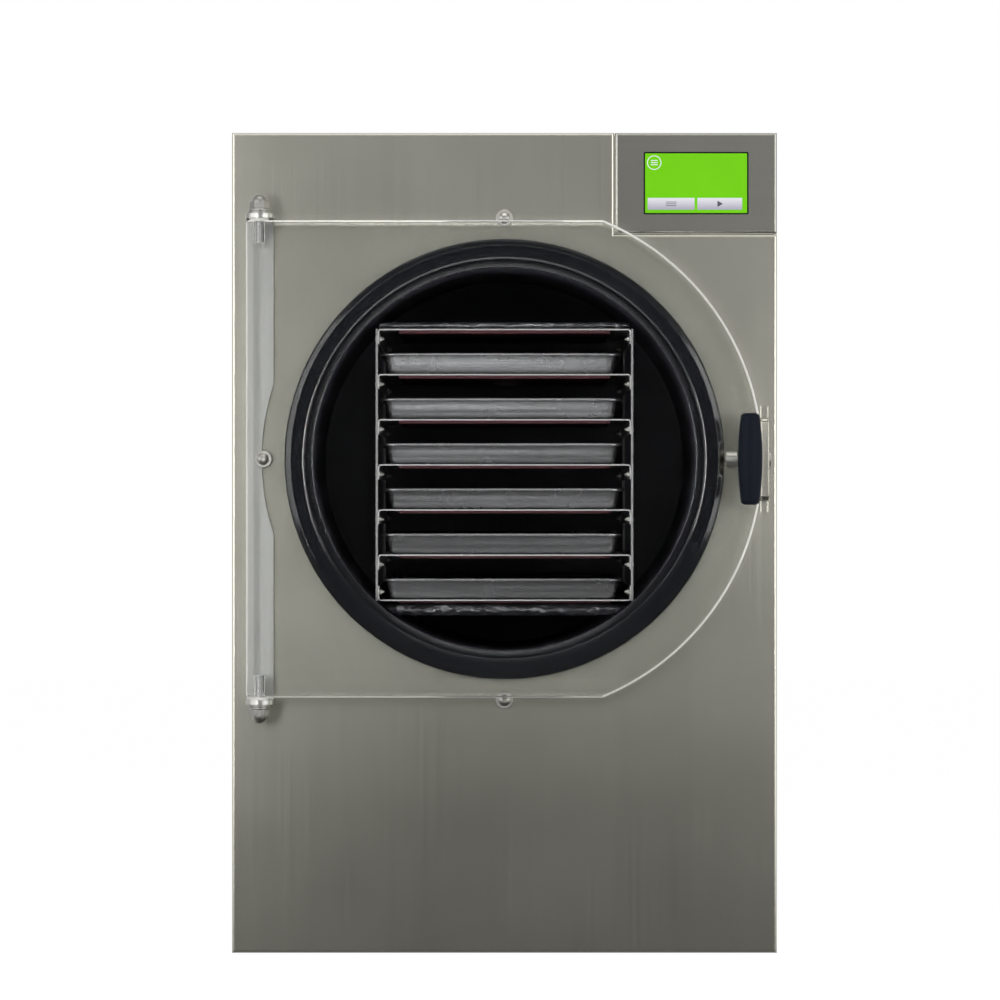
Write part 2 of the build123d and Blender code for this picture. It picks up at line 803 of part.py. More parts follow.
# Domed nuts close the outer ends of the pins.
with BuildPart() as hinge_nuts:
    with BuildSketch(Plane.XY.offset(chamber_z + washer_top)):
        with Locations((hinge_x, hinge_y)):
            RegularPolygon(nut_flats / 2, 6, major_radius=False)
    extrude(amount=nut_height)
    with BuildSketch(Plane.XZ.offset(-hinge_y)):
        with BuildLine():
            dome_z = chamber_z + washer_top + nut_height
            Line((hinge_x, dome_z), (hinge_x + nut_dome_radius, dome_z))
            RadiusArc(
                (hinge_x + nut_dome_radius, dome_z),
                (hinge_x, dome_z + nut_dome_radius),
                -nut_dome_radius,
            )
            Line((hinge_x, dome_z + nut_dome_radius), (hinge_x, dome_z))
        make_face()
    revolve(axis=Axis((hinge_x, hinge_y, 0), (0, 0, 1)))
    with BuildSketch(Plane.XY.offset(chamber_z + washer_top)):
        with Locations((hinge_x, hinge_y)):
            Circle(pin_radius + pin_running)
    extrude(amount=nut_bore_top - washer_top, mode=Mode.SUBTRACT)
    mirror(about=middle)
hinge_nuts.part.label = "hinge_nuts"
export_step(hinge_nuts.part, "parts/hinge_nuts.step")

# ---------------------------------------------------------------- door and latch

# A thick clear plate: straight at the hinge, round at the other side, cut flat above and below.
with BuildPart() as door_panel:
    with BuildSketch(ahead(door_back)):
        with Locations((0, chamber_z)):
            Circle(door_radius)
        with Locations((-door_radius / 2, chamber_z)):
            Rectangle(door_radius, 2 * door_half_height)
        with Locations((0, chamber_z)):
            Rectangle(2 * door_radius, 2 * door_half_height, mode=Mode.INTERSECT)
    extrude(amount=door_thickness)
    fillet(door_panel.edges().filter_by(Axis.Y).group_by(Axis.X)[0], door_corner)
    faces = door_panel.faces().filter_by(Plane.XZ)
    chamfer(faces.edges(), door_edge)
    for side in (-1, 1):
        with BuildSketch(Plane.XY.offset(chamber_z + side * door_half_height)):
            with Locations((hinge_x, hinge_y)):
                Circle(pin_radius + pin_running)
        extrude(amount=-side * (pin_depth + pin_end_gap), mode=Mode.SUBTRACT)
    with BuildSketch(ahead(door_back)):
        with Locations((latch_x, chamber_z)):
            Circle(shaft_radius + pin_running)
    extrude(amount=door_thickness, mode=Mode.SUBTRACT)
door_panel.part.label = "door_panel"
export_step(door_panel.part, "parts/door_panel.step")

with BuildPart() as latch_shaft:
    with BuildSketch(ahead(shaft_rear)):
        with Locations((latch_x, chamber_z)):
            Circle(shaft_radius)
    extrude(amount=handle_ahead - shaft_rear)
    with BuildSketch(ahead(door_back - shaft_collar_gap)):
        with Locations((latch_x, chamber_z)):
            Circle(shaft_collar_radius)
    extrude(amount=-shaft_collar)
    with BuildSketch(Plane.YZ.offset(latch_x - shaft_radius)):
        with Locations((front_y - cross_pin_ahead, chamber_z)):
            Circle(cross_pin_radius + pin_running)
    extrude(amount=2 * shaft_radius, mode=Mode.SUBTRACT)
latch_shaft.part.label = "latch_shaft"
export_step(latch_shaft.part, "parts/latch_shaft.step")

with BuildPart() as latch_cross_pin:
    with BuildSketch(Plane.YZ.offset(latch_x - cross_pin_half)):
        with Locations((front_y - cross_pin_ahead, chamber_z)):
            Circle(cross_pin_radius)
    extrude(amount=2 * cross_pin_half)
latch_cross_pin.part.label = "latch_cross_pin"
export_step(latch_cross_pin.part, "parts/latch_cross_pin.step")

# A hardened collar is pressed on each end of the cross pin.
with BuildPart() as latch_collars:
    for side in (-1, 1):
        with BuildSketch(Plane.YZ.offset(latch_x + side * (cross_pin_half - collar_end))):
            with Locations((front_y - cross_pin_ahead, chamber_z)):
                Circle(collar_radius)
                Circle(cross_pin_radius + pin_running, mode=Mode.SUBTRACT)
        extrude(amount=-side * collar_length)
latch_collars.part.label = "latch_collars"
export_step(latch_collars.part, "parts/latch_collars.step")

# A barrel grip with a neck that turns on the front of the door.
with BuildPart() as latch_handle:
    handle_y = front_y - handle_ahead
    profile = [
        (0, handle_half_height),
        (handle_end_radius - handle_edge, handle_half_height),
        (handle_end_radius, handle_half_height - handle_edge),
        (handle_radius, handle_half_height / 3),
    ]
    with BuildSketch(Plane.XZ.offset(-handle_y)):
        with BuildLine():
            Polyline(
                *[(latch_x + r, chamber_z + z) for r, z in profile],
                *[(latch_x + r, chamber_z - z) for r, z in reversed(profile)],
                close=True,
            )
        make_face()
    revolve(axis=Axis((latch_x, handle_y, 0), (0, 0, 1)))
    with BuildSketch(ahead(door_front + handle_gap)):
        with Locations((latch_x, chamber_z)):
            Circle(hub_radius)
    extrude(amount=handle_neck + handle_radius)
    with BuildSketch(ahead(door_front + handle_gap)):
        with Locations((latch_x, chamber_z)):
            Circle(shaft_radius + pin_running)
    extrude(amount=handle_neck + handle_radius + fit, mode=Mode.SUBTRACT)
latch_handle.part.label = "latch_handle"
export_step(latch_handle.part, "parts/latch_handle.step")

# A bridge on the front panel: the right end of the cross pin turns in behind it.
with BuildPart() as latch_keeper:
    web_back = cross_pin_ahead + collar_radius + keeper_gap
    web_front = web_back + keeper_plate
    leg = keeper_half_height - keeper_foot
    path = [
        (keeper_half_height, 0),
        (keeper_half_height, keeper_plate),
        (leg, keeper_plate),
        (leg, web_front),
        (-leg, web_front),
        (-leg, keeper_plate),
        (-keeper_half_height, keeper_plate),
        (-keeper_half_height, 0),
        (-leg + keeper_plate, 0),
        (-leg + keeper_plate, web_back),
        (leg - keeper_plate, web_back),
        (leg - keeper_plate, 0),
    ]
    with BuildSketch(Plane.YZ.offset(latch_x + keeper_left)):
        with BuildLine():
            Polyline(*[(front_y - d, chamber_z + z) for z, d in path], close=True)
        make_face()
    extrude(amount=keeper_width)
    folds = latch_keeper.edges().filter_by(Axis.X)
    fillet(folds.group_by(Axis.Y)[0], keeper_bend)
    lead = latch_keeper.edges().filter_by(Axis.Z).filter_by_position(
        Axis.Y, front_y - web_back - edge_search, front_y - web_back + edge_search
    )
    chamfer(lead.sort_by(Axis.X)[0], keeper_lead)
latch_keeper.part.label = "latch_keeper"
export_step(latch_keeper.part, "parts/latch_keeper.step")

# ---------------------------------------------------------------- rack, heaters and trays

with BuildPart() as rack_uprights:
    upright_height = top_shelf - rack_bottom
    for end_y in (front_y + rack_front, front_y + rack_front + rack_depth - upright_depth):
        with BuildSketch(Plane.XY.offset(chamber_z + rack_bottom)):
            with Locations((0, end_y + upright_depth / 2)):
                with GridLocations(2 * rack_half_width - upright_thickness, 0, 2, 1):
                    Rectangle(upright_thickness, upright_depth)
        extrude(amount=upright_height)
rack_uprights.part.label = "rack_uprights"
export_step(rack_uprights.part, "parts/rack_uprights.step")

# Every shelf is a sheet with its sides folded down; the lowest has them folded up, clear of the
# drum's curve.
for index, shelf_top in enumerate(shelf_tops):
    lowest = index == shelf_count - 1
    with BuildPart() as shelf:
        low = shelf_top - shelf_sheet if lowest else shelf_top - shelf_flange
        with BuildSketch(Plane.XZ.offset(-rack_y - rack_depth / 2)):
            with Locations((0, chamber_z + low + shelf_flange / 2)):
                Rectangle(2 * shelf_half_width, shelf_flange)
        extrude(amount=rack_depth)
        plate_edges = shelf.edges().filter_by(Axis.Y).group_by(Axis.Z)[0 if lowest else -1]
        fillet(plate_edges, shelf_bend)
        ends = shelf.faces().filter_by(Plane.XZ)
        open_side = shelf.faces().sort_by(Axis.Z)[-1 if lowest else 0]
        offset(amount=-shelf_sheet, openings=ends + [open_side])
    shelf.part.label = f"shelf_{index + 1}"
    export_step(shelf.part, f"parts/shelf_{index + 1}.step")

with BuildPart() as heater_mats:
    for shelf_top in shelf_tops:
        with BuildSketch(Plane.XY.offset(chamber_z + shelf_top - shelf_sheet)):
            with Locations((0, rack_y)):
                Rectangle(mat_width, mat_depth)
        extrude(amount=-mat_thickness)
heater_mats.part.label = "heater_mats"
export_step(heater_mats.part, "parts/heater_mats.step")

# Foil-faced pads: one lies on the top shelf, the other hangs below the lowest and is trimmed to
# the drum.
with BuildPart() as foil_pads:
    with BuildSketch(ahead(-rack_front - (rack_depth - pad_depth) / 2)):
        with Locations((0, chamber_z + top_shelf + pad_thickness / 2)):
            RectangleRounded(2 * shelf_half_width, pad_thickness, pad_round)
        lower_top = rack_bottom - mat_thickness - shelf_gap
        with Locations((0, chamber_z + lower_top - lower_pad_thickness / 2)):
            Rectangle(2 * shelf_half_width, lower_pad_thickness)
        with Locations((0, chamber_z)):
            Circle(chamber_radius - 2 * rubber_gap, mode=Mode.INTERSECT)
    extrude(amount=-pad_depth)
foil_pads.part.label = "foil_pads"
export_step(foil_pads.part, "parts/foil_pads.step")

# Trays with sloping walls and a rim that is folded out and down.
for index in range(shelf_count - 1):
    tray_z = chamber_z + shelf_tops[index + 1] + tray_gap
    with BuildPart() as tray:
        for inset, mode in ((0, Mode.ADD), (tray_sheet, Mode.SUBTRACT)):
            with BuildSketch(Plane.XY.offset(tray_z + inset)):
                with Locations((0, rack_y)):
                    RectangleRounded(
                        tray_width - 2 * (tray_flange + tray_slope + inset),
                        tray_length - 2 * (tray_flange + tray_slope + inset),
                        tray_corner - inset,
                    )
            with BuildSketch(Plane.XY.offset(tray_z + tray_height)):
                with Locations((0, rack_y)):
                    RectangleRounded(
                        tray_width - 2 * (tray_flange + inset),
                        tray_length - 2 * (tray_flange + inset),
                        tray_corner - inset,
                    )
            loft(mode=mode)
        with BuildSketch(Plane.XY.offset(tray_z + tray_height)):
            with Locations((0, rack_y)):
                RectangleRounded(tray_width, tray_length, tray_corner + tray_flange)
                RectangleRounded(
                    tray_width - 2 * (tray_flange + tray_sheet),
                    tray_length - 2 * (tray_flange + tray_sheet),
                    tray_corner - tray_sheet,
                    mode=Mode.SUBTRACT,
                )
        extrude(amount=-tray_sheet)
        with BuildSketch(Plane.XY.offset(tray_z + tray_height)):
            with Locations((0, rack_y)):
                RectangleRounded(tray_width, tray_length, tray_corner + tray_flange)
                RectangleRounded(
                    tray_width - 2 * tray_sheet,
                    tray_length - 2 * tray_sheet,
                    tray_corner + tray_flange - tray_sheet,
                    mode=Mode.SUBTRACT,
                )
        extrude(amount=-tray_hem)
    tray.part.label = f"tray_{index + 1}"
    export_step(tray.part, f"parts/tray_{index + 1}.step")

# ---------------------------------------------------------------- machinery

compressor_y = front_y + compressor_behind
with BuildPart() as compressor:
    foot_z = pan_top + grommet_height
    with BuildSketch(Plane.XY.offset(foot_z)):
        with Locations((compressor_x, compressor_y)):
            RectangleRounded(compressor_foot_length, compressor_foot_width, compressor_foot_round)
    extrude(amount=compressor_foot_sheet)
    with BuildSketch(Plane.XY.offset(foot_z + compressor_foot_sheet)):
        with Locations((compressor_x, compressor_y)):
            Circle(compressor_radius)
    extrude(amount=compressor_height)
    chamfer(compressor.edges().group_by(Axis.Z)[-1], compressor_shoulder)
    with Locations((compressor_x + compressor_radius, compressor_y, foot_z + compressor_height / 2)):
        Box(*terminal_box)
compressor.part.label = "compressor"
export_step(compressor.part, "parts/compressor.step")

with BuildPart() as compressor_grommets:
    with BuildSketch(Plane.XY.offset(pan_top)):
        with Locations((compressor_x, compressor_y)):
            with GridLocations(
                compressor_foot_length - 2 * grommet_inset,
                compressor_foot_width - 2 * grommet_inset,
                2,
                2,
            ):
                Circle(grommet_radius)
    extrude(amount=grommet_height)
compressor_grommets.part.label = "compressor_grommets"
export_step(compressor_grommets.part, "parts/compressor_grommets.step")

# The duct ends on the rear panel's grille, and the box in front of it meets the condenser.
plate_rear_y = wrap_rear_y - duct_length
plate_front_y = plate_rear_y - sheet
box_front_y = plate_front_y - shroud_box
duct_radius = fan_radius + fan_clearance
with BuildPart() as fan_shroud:
    with BuildSketch(Plane.XZ.offset(-wrap_rear_y)):
        with Locations((fan_x, fan_height)):
            Circle(duct_radius + sheet)
    extrude(amount=duct_length)
    with BuildSketch(Plane.XZ.offset(-plate_rear_y)):
        with Locations((fan_x, fan_height)):
            Rectangle(shroud_width, shroud_height)
    extrude(amount=sheet + shroud_box)
    with BuildSketch(Plane.XZ.offset(-plate_front_y)):
        with Locations((fan_x, fan_height)):
            Rectangle(shroud_width - 2 * sheet, shroud_height - 2 * sheet)
    extrude(amount=shroud_box, mode=Mode.SUBTRACT)
    with BuildSketch(Plane.XZ.offset(-wrap_rear_y)):
        with Locations((fan_x, fan_height)):
            Circle(duct_radius)
    extrude(amount=duct_length + sheet, mode=Mode.SUBTRACT)
fan_shroud.part.label = "fan_shroud"
export_step(fan_shroud.part, "parts/fan_shroud.step")

with BuildPart() as fan_motor:
    with BuildSketch(Plane.XZ.offset(-plate_front_y)):
        with Locations((fan_x, fan_height)):
            Circle(motor_radius)
    extrude(amount=motor_length)
    with BuildSketch(Plane.XZ.offset(-plate_front_y)):
        with Locations((fan_x, fan_height)):
            Rectangle(2 * (duct_radius + motor_arm_reach), motor_arm_width)
            Rectangle(motor_arm_width, 2 * (duct_radius + motor_arm_reach))
    extrude(amount=motor_arm_sheet)
    with BuildSketch(Plane.XZ.offset(-plate_front_y)):
        with Locations((fan_x, fan_height)):
            Circle(motor_shaft_radius)
    extrude(amount=-(fan_hub_gap + fan_hub_length - sheet))
fan_motor.part.label = "fan_motor"
export_step(fan_motor.part, "parts/fan_motor.step")

hub_front_y = plate_front_y + fan_hub_gap
with BuildPart() as fan_rotor:
    with BuildSketch(Plane.XZ.offset(-hub_front_y)):
        with Locations((fan_x, fan_height)):
            Circle(fan_hub_radius)
    extrude(amount=-fan_hub_length)
    hub_centre = (fan_x, hub_front_y + fan_hub_length / 2, fan_height)
    for blade in range(fan_blades):
        turn = radians(360 / fan_blades * blade)
        pitch = radians(fan_pitch)
        outward = (cos(turn), 0, sin(turn))
        normal = (-sin(turn) * sin(pitch), cos(pitch), cos(turn) * sin(pitch))
        with BuildSketch(Plane(hub_centre, x_dir=outward, z_dir=normal)):
            with BuildLine():
                Polyline(
                    (fan_hub_radius / 2, -fan_root_chord / 2),
                    (fan_radius + fan_clearance, -fan_chord / 2),
                    (fan_radius + fan_clearance, fan_chord / 2),
                    (fan_hub_radius / 2, fan_root_chord / 2),
                    close=True,
                )
            make_face()
        extrude(amount=fan_blade_sheet / 2, both=True)
    with BuildSketch(Plane.XZ.offset(-hub_front_y)):
        with Locations((fan_x, fan_height)):
            Circle(fan_radius)
    extrude(amount=-duct_length, both=True, mode=Mode.INTERSECT)
    with BuildSketch(Plane.XZ.offset(-hub_front_y)):
        with Locations((fan_x, fan_height)):
            Circle(motor_shaft_radius + pin_running)
    extrude(amount=-fan_hub_length, mode=Mode.SUBTRACT)
fan_rotor.part.label = "fan_rotor"
export_step(fan_rotor.part, "parts/fan_rotor.step")

# A slab of tubes with fins on both faces, between two end plates that stand in the pan.
with BuildPart() as condenser:
    condenser_y = box_front_y - condenser_depth / 2
    with BuildSketch(Plane.XY.offset(fan_height - shroud_height / 2)):
        with Locations((fan_x, condenser_y)):
            Rectangle(shroud_width - condenser_end, condenser_core)
            with GridLocations(shroud_width / (condenser_fins + 1), 0, condenser_fins, 1):
                Rectangle(condenser_fin, condenser_depth)
    extrude(amount=shroud_height)
    with BuildSketch(Plane.XY.offset(pan_top)):
        with Locations((fan_x, condenser_y)):
            with GridLocations(shroud_width - condenser_end, 0, 2, 1):
                Rectangle(condenser_end, condenser_depth)
    extrude(amount=fan_height + shroud_height / 2 - pan_top)
condenser.part.label = "condenser"
export_step(condenser.part, "parts/condenser.step")

# The drier hangs on the rear tail of the coil.
drier_x, drier_y = rear_tail
drier_top = deck_height - deck_flange
drier_bottom = drier_top - drier_length - 2 * drier_neck
with BuildPart() as filter_drier:
    with BuildSketch(Plane.XZ.offset(-drier_y)):
        with BuildLine():
            Polyline(
                (drier_x, drier_top),
                (drier_x + line_radius, drier_top),
                (drier_x + line_radius, drier_top - drier_neck),
                (drier_x + drier_radius, drier_top - drier_neck - drier_cone),
                (drier_x + drier_radius, drier_bottom + drier_neck + drier_cone),
                (drier_x + line_radius, drier_bottom + drier_neck),
                (drier_x + line_radius, drier_bottom),
                (drier_x, drier_bottom),
                close=True,
            )
        make_face()
    revolve(axis=Axis((drier_x, drier_y, 0), (0, 0, 1)))
filter_drier.part.label = "filter_drier"
export_step(filter_drier.part, "parts/filter_drier.step")

# Copper lines in straight runs with tight elbows.  The suction line aims at the compressor's axis.
suction_x, suction_y = front_tail
suction_reach = sqrt((compressor_x - suction_x) ** 2 + (compressor_y - suction_y) ** 2)
suction_share = 1 - compressor_radius / suction_reach
condenser_face_y = condenser_y - condenser_core / 2
routes = [
    [
        (drier_x, drier_y, drier_bottom),
        (drier_x, drier_y, liquid_height),
        (discharge_x, drier_y, liquid_height),
        (discharge_x, condenser_face_y, liquid_height),
    ],
    [
        (suction_x, suction_y, deck_height - deck_flange),
        (suction_x, suction_y, suction_height),
        (
            suction_x + suction_share * (compressor_x - suction_x),
            suction_y + suction_share * (compressor_y - suction_y),
            suction_height,
        ),
    ],
    [
        (compressor_x - compressor_radius, compressor_y, discharge_height),
        (discharge_x, compressor_y, discharge_height),
        (discharge_x, condenser_face_y, discharge_height),
    ],
]
with BuildPart() as copper_lines:
    for points in routes:
        with BuildLine() as route:
            Polyline(*points)
        with BuildSketch(Plane(route.line @ 0, z_dir=route.line % 0)):
            Circle(line_radius)
        sweep(path=route.line, transition=Transition.RIGHT)
copper_lines.part.label = "copper_lines"
export_step(copper_lines.part, "parts/copper_lines.step")

# ---------------------------------------------------------------- rear fittings

port_z = chamber_z + port_rise
with BuildPart() as vacuum_port:
    with BuildSketch(Plane.XZ.offset(-head_y)):
        with Locations((0, port_z)):
            Circle(port_flange_radius)
    extrude(amount=-port_flange)
    with BuildSketch(Plane.XZ.offset(-head_y)):
        with Locations((0, port_z)):
            Circle(port_neck_radius)
    extrude(amount=-(rear_y + port_neck - head_y))
    with BuildSketch(Plane.XZ.offset(-rear_y - port_neck)):
        with Locations((0, port_z)):
            Circle(port_radius)
    extrude(amount=-port_length)
    chamfer(vacuum_port.edges().group_by(Axis.Y)[-1], port_chamfer)
    with BuildSketch(Plane.XZ.offset(-head_y)):
        with Locations((0, port_z)):
            Circle(port_bore)
    extrude(amount=-(rear_y + port_neck + port_length - head_y), mode=Mode.SUBTRACT)
vacuum_port.part.label = "vacuum_port"
export_step(vacuum_port.part, "parts/vacuum_port.step")

valve_y = rear_y + valve_stand + valve_length / 2
with BuildPart() as drain_valve_body:
    with BuildSketch(Plane.XZ.offset(-head_y)):
        with Locations((0, valve_z)):
            Circle(drain_pipe_radius)
    extrude(amount=-(rear_y + valve_stand - head_y))
    with BuildSketch(Plane.XZ.offset(-rear_y - valve_stand)):
        with Locations((0, valve_z)):
            Rectangle(2 * valve_half, 2 * valve_half)
    extrude(amount=-valve_length)
    with BuildSketch(Plane.XZ.offset(-rear_y - valve_stand - valve_length)):
        with Locations((0, valve_z)):
            Circle(barb_radius)
    extrude(amount=-barb_length)
    for ring in range(barb_rings):
        ring_y = rear_y + valve_stand + valve_length + barb_length * (ring + 1) / (barb_rings + 2)
        with BuildSketch(Plane.XZ.offset(-ring_y)):
            with Locations((0, valve_z)):
                Circle(barb_radius + barb_ring)
        extrude(amount=-barb_ring)
    with BuildSketch(Plane.XY.offset(valve_z)):
        with Locations((0, valve_y)):
            Circle(stem_boss_radius)
    extrude(amount=valve_half + stem_boss)
    with BuildSketch(Plane.XZ.offset(-head_y)):
        with Locations((0, valve_z)):
            Circle(drain_bore)
    extrude(amount=-(rear_y + rear_reach - head_y), mode=Mode.SUBTRACT)
    with BuildSketch(Plane.XY.offset(valve_z - plug_half_height - fit)):
        with Locations((0, valve_y)):
            Circle(plug_radius + pin_running)
    extrude(amount=2 * (plug_half_height + fit), mode=Mode.SUBTRACT)
    with BuildSketch(Plane.XY.offset(valve_z)):
        with Locations((0, valve_y)):
            Circle(stem_radius + pin_running)
    extrude(amount=valve_half + stem_boss, mode=Mode.SUBTRACT)
drain_valve_body.part.label = "drain_valve_body"
export_step(drain_valve_body.part, "parts/drain_valve_body.step")

# The plug and its stem are one piece; the valve is closed, so the plug's hole lies across the pipe.
boss_top = valve_z + valve_half + stem_boss
with BuildPart() as drain_valve_plug:
    with BuildSketch(Plane.XY.offset(valve_z - plug_half_height)):
        with Locations((0, valve_y)):
            Circle(plug_radius)
    extrude(amount=2 * plug_half_height)
    with BuildSketch(Plane.XY.offset(valve_z)):
        with Locations((0, valve_y)):
            Circle(stem_radius)
    extrude(amount=boss_top + lever_gap + lever_thickness + stem_end - valve_z)
    with BuildSketch(Plane.YZ.offset(-plug_radius)):
        with Locations((valve_y, valve_z)):
            Circle(drain_bore)
    extrude(amount=2 * plug_radius, mode=Mode.SUBTRACT)
drain_valve_plug.part.label = "drain_valve_plug"
export_step(drain_valve_plug.part, "parts/drain_valve_plug.step")

with BuildPart() as drain_valve_lever:
    with BuildSketch(Plane.XY.offset(boss_top + lever_gap)):
        with Locations((0, valve_y)):
            Circle(lever_width / 2)
        with Locations((lever_length / 2, valve_y)):
            Rectangle(lever_length, lever_width)
    extrude(amount=lever_thickness)
    with BuildSketch(Plane.XY.offset(boss_top + lever_gap)):
        with Locations((lever_length - lever_grip / 2, valve_y)):
            RectangleRounded(lever_grip, lever_width + lever_thickness, lever_thickness)
    extrude(amount=lever_grip_thickness)
    with BuildSketch(Plane.XY.offset(boss_top + lever_gap)):
        with Locations((0, valve_y)):
            Circle(stem_radius + pin_running)
    extrude(amount=lever_thickness, mode=Mode.SUBTRACT)
drain_valve_lever.part.label = "drain_valve_lever"
export_step(drain_valve_lever.part, "parts/drain_valve_lever.step")

# Mains inlet and rocker switch share one moulding in the rear panel.
inlet_z = entry_height - inlet_drop
switch_z = entry_height + switch_rise
lip_y = rear_y + entry_lip
with BuildPart() as power_entry:
    with BuildSketch(Plane.XZ.offset(-lip_y)):
        with Locations((entry_x, entry_height)):
            RectangleRounded(
                entry_width + 2 * entry_lip_border, entry_tall + 2 * entry_lip_border, entry_lip_border
            )
    extrude(amount=entry_lip)
    with BuildSketch(Plane.XZ.offset(-rear_y)):
        with Locations((entry_x, entry_height)):
            Rectangle(entry_width, entry_tall)
    extrude(amount=entry_inside)
    with BuildSketch(Plane.XZ.offset(-lip_y)):
        with Locations((entry_x, inlet_z)):
            Rectangle(inlet_width, inlet_tall)
    extrude(amount=inlet_depth, mode=Mode.SUBTRACT)
    with BuildSketch(Plane.XZ.offset(-lip_y)):
        with Locations((entry_x, switch_z)):
            Rectangle(switch_width + 2 * rocker_gap, switch_tall)
    extrude(amount=switch_depth, mode=Mode.SUBTRACT)
    contact_width, contact_tall, contact_length = contact_size
    with BuildSketch(Plane.XZ.offset(-lip_y + inlet_depth)):
        with Locations((entry_x - contact_pitch, inlet_z), (entry_x + contact_pitch, inlet_z)):
            Rectangle(contact_width, contact_tall)
        with Locations((entry_x, inlet_z + contact_tall)):
            Rectangle(contact_width, contact_tall)
    extrude(amount=-contact_length)
    rocker_y = lip_y - switch_depth / 2
    with BuildSketch(Plane.YZ.offset(entry_x)):
        with Locations((rocker_y, switch_z)):
            Circle(rocker_pivot_radius + pin_running)
    extrude(amount=switch_width / 2 + rocker_gap + rocker_pivot, both=True, mode=Mode.SUBTRACT)
power_entry.part.label = "power_entry"
export_step(power_entry.part, "parts/power_entry.step")

with BuildPart() as switch_rocker:
    tip = switch_tall / 2 - 2 * rocker_gap
    rise = lip_y - rocker_y
    outline = [
        (rise + rocker_crest, tip - rocker_draft),
        (rise - rocker_dip, 0),
        (rise + rocker_crest, rocker_draft - tip),
        (-rise / 2, 2 * rocker_draft - tip),
        (-rise / 2, tip - 2 * rocker_draft),
    ]
    tilt = radians(rocker_tilt)
    with BuildSketch(Plane.YZ.offset(entry_x - switch_width / 2)):
        with BuildLine():
            Polyline(
                *[
                    (
                        rocker_y + out * cos(tilt) - up * sin(tilt),
                        switch_z + out * sin(tilt) + up * cos(tilt),
                    )
                    for out, up in outline
                ],
                close=True,
            )
        make_face()
    extrude(amount=switch_width)
    with BuildSketch(Plane.YZ.offset(entry_x)):
        with Locations((rocker_y, switch_z)):
            Circle(rocker_pivot_radius)
    extrude(amount=switch_width / 2 + rocker_gap + rocker_pivot - fit, both=True)
switch_rocker.part.label = "switch_rocker"
export_step(switch_rocker.part, "parts/switch_rocker.step")
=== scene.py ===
"""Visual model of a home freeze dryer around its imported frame.  Metres; -Y is the door side, +Z is up."""

import math

import bmesh
import bpy
import numpy as np
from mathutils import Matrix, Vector


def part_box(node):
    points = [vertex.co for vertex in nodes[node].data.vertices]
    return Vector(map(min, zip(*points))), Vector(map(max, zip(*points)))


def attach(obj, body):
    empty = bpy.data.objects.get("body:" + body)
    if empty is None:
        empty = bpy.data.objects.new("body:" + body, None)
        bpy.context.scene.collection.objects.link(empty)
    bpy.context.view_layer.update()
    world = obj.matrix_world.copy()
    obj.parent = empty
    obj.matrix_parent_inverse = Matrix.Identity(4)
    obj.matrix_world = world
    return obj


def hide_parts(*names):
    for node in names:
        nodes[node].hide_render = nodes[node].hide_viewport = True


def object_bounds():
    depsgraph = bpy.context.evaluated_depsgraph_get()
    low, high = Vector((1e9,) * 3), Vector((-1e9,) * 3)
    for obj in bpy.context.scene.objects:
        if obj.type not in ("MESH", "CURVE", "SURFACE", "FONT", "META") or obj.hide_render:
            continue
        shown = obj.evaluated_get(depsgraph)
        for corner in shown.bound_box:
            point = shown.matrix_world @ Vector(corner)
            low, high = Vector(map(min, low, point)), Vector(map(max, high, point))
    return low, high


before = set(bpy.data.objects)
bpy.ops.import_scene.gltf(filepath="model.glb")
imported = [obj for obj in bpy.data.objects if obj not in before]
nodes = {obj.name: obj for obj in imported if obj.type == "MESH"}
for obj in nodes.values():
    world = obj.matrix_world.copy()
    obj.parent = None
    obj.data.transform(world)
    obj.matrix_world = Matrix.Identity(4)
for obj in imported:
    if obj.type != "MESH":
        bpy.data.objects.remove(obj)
frame_box = [list(corner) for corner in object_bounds()]
TAU = 2 * math.pi


# ---------------------------------------------------------------- surfaces


def centre(node):
    low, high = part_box(node)
    return np.array([(a + b) / 2 for a, b in zip(low, high)])


def grid_faces(rows, columns, closed_rows=False):
    """Quads between neighbours (i, j) of a rows x columns grid.  The last column joins the first; closed_rows joins
    the last row to the first too."""
    i, j = np.meshgrid(np.arange(rows if closed_rows else rows - 1), np.arange(columns), indexing="ij")
    after_i, after_j = (i + 1) % rows, (j + 1) % columns
    corners = [i * columns + j, i * columns + after_j, after_i * columns + after_j, after_i * columns + j]
    return np.stack(corners, -1).reshape(-1, 4)


def surface(name, points, faces, body, material, smooth_angle=35):
    """One mesh object from an array of points and an (m, 4) array of quads, riding on a body, with a material.  Edges
    sharper than smooth_angle, in degrees, stay sharp."""
    mesh = bpy.data.meshes.new(name)
    mesh.from_pydata(np.asarray(points, float).reshape(-1, 3).tolist(), [], faces.tolist())
    piece = bpy.data.objects.new(name, mesh)
    bpy.context.scene.collection.objects.link(piece)
    tidy(mesh)
    mesh.shade_smooth()
    mesh.set_sharp_from_angle(angle=math.radians(smooth_angle))
    mesh.materials.append(material)
    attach(piece, body)
    return piece


def tidy(mesh):
    """Merges what coincides at poles and seams, and turns every face outwards."""
    work = bmesh.new()
    work.from_mesh(mesh)
    bmesh.ops.remove_doubles(work, verts=work.verts, dist=1e-6)
    bmesh.ops.dissolve_degenerate(work, edges=work.edges, dist=1e-7)
    bmesh.ops.recalc_face_normals(work, faces=work.faces)
    work.to_mesh(mesh)
    work.free()


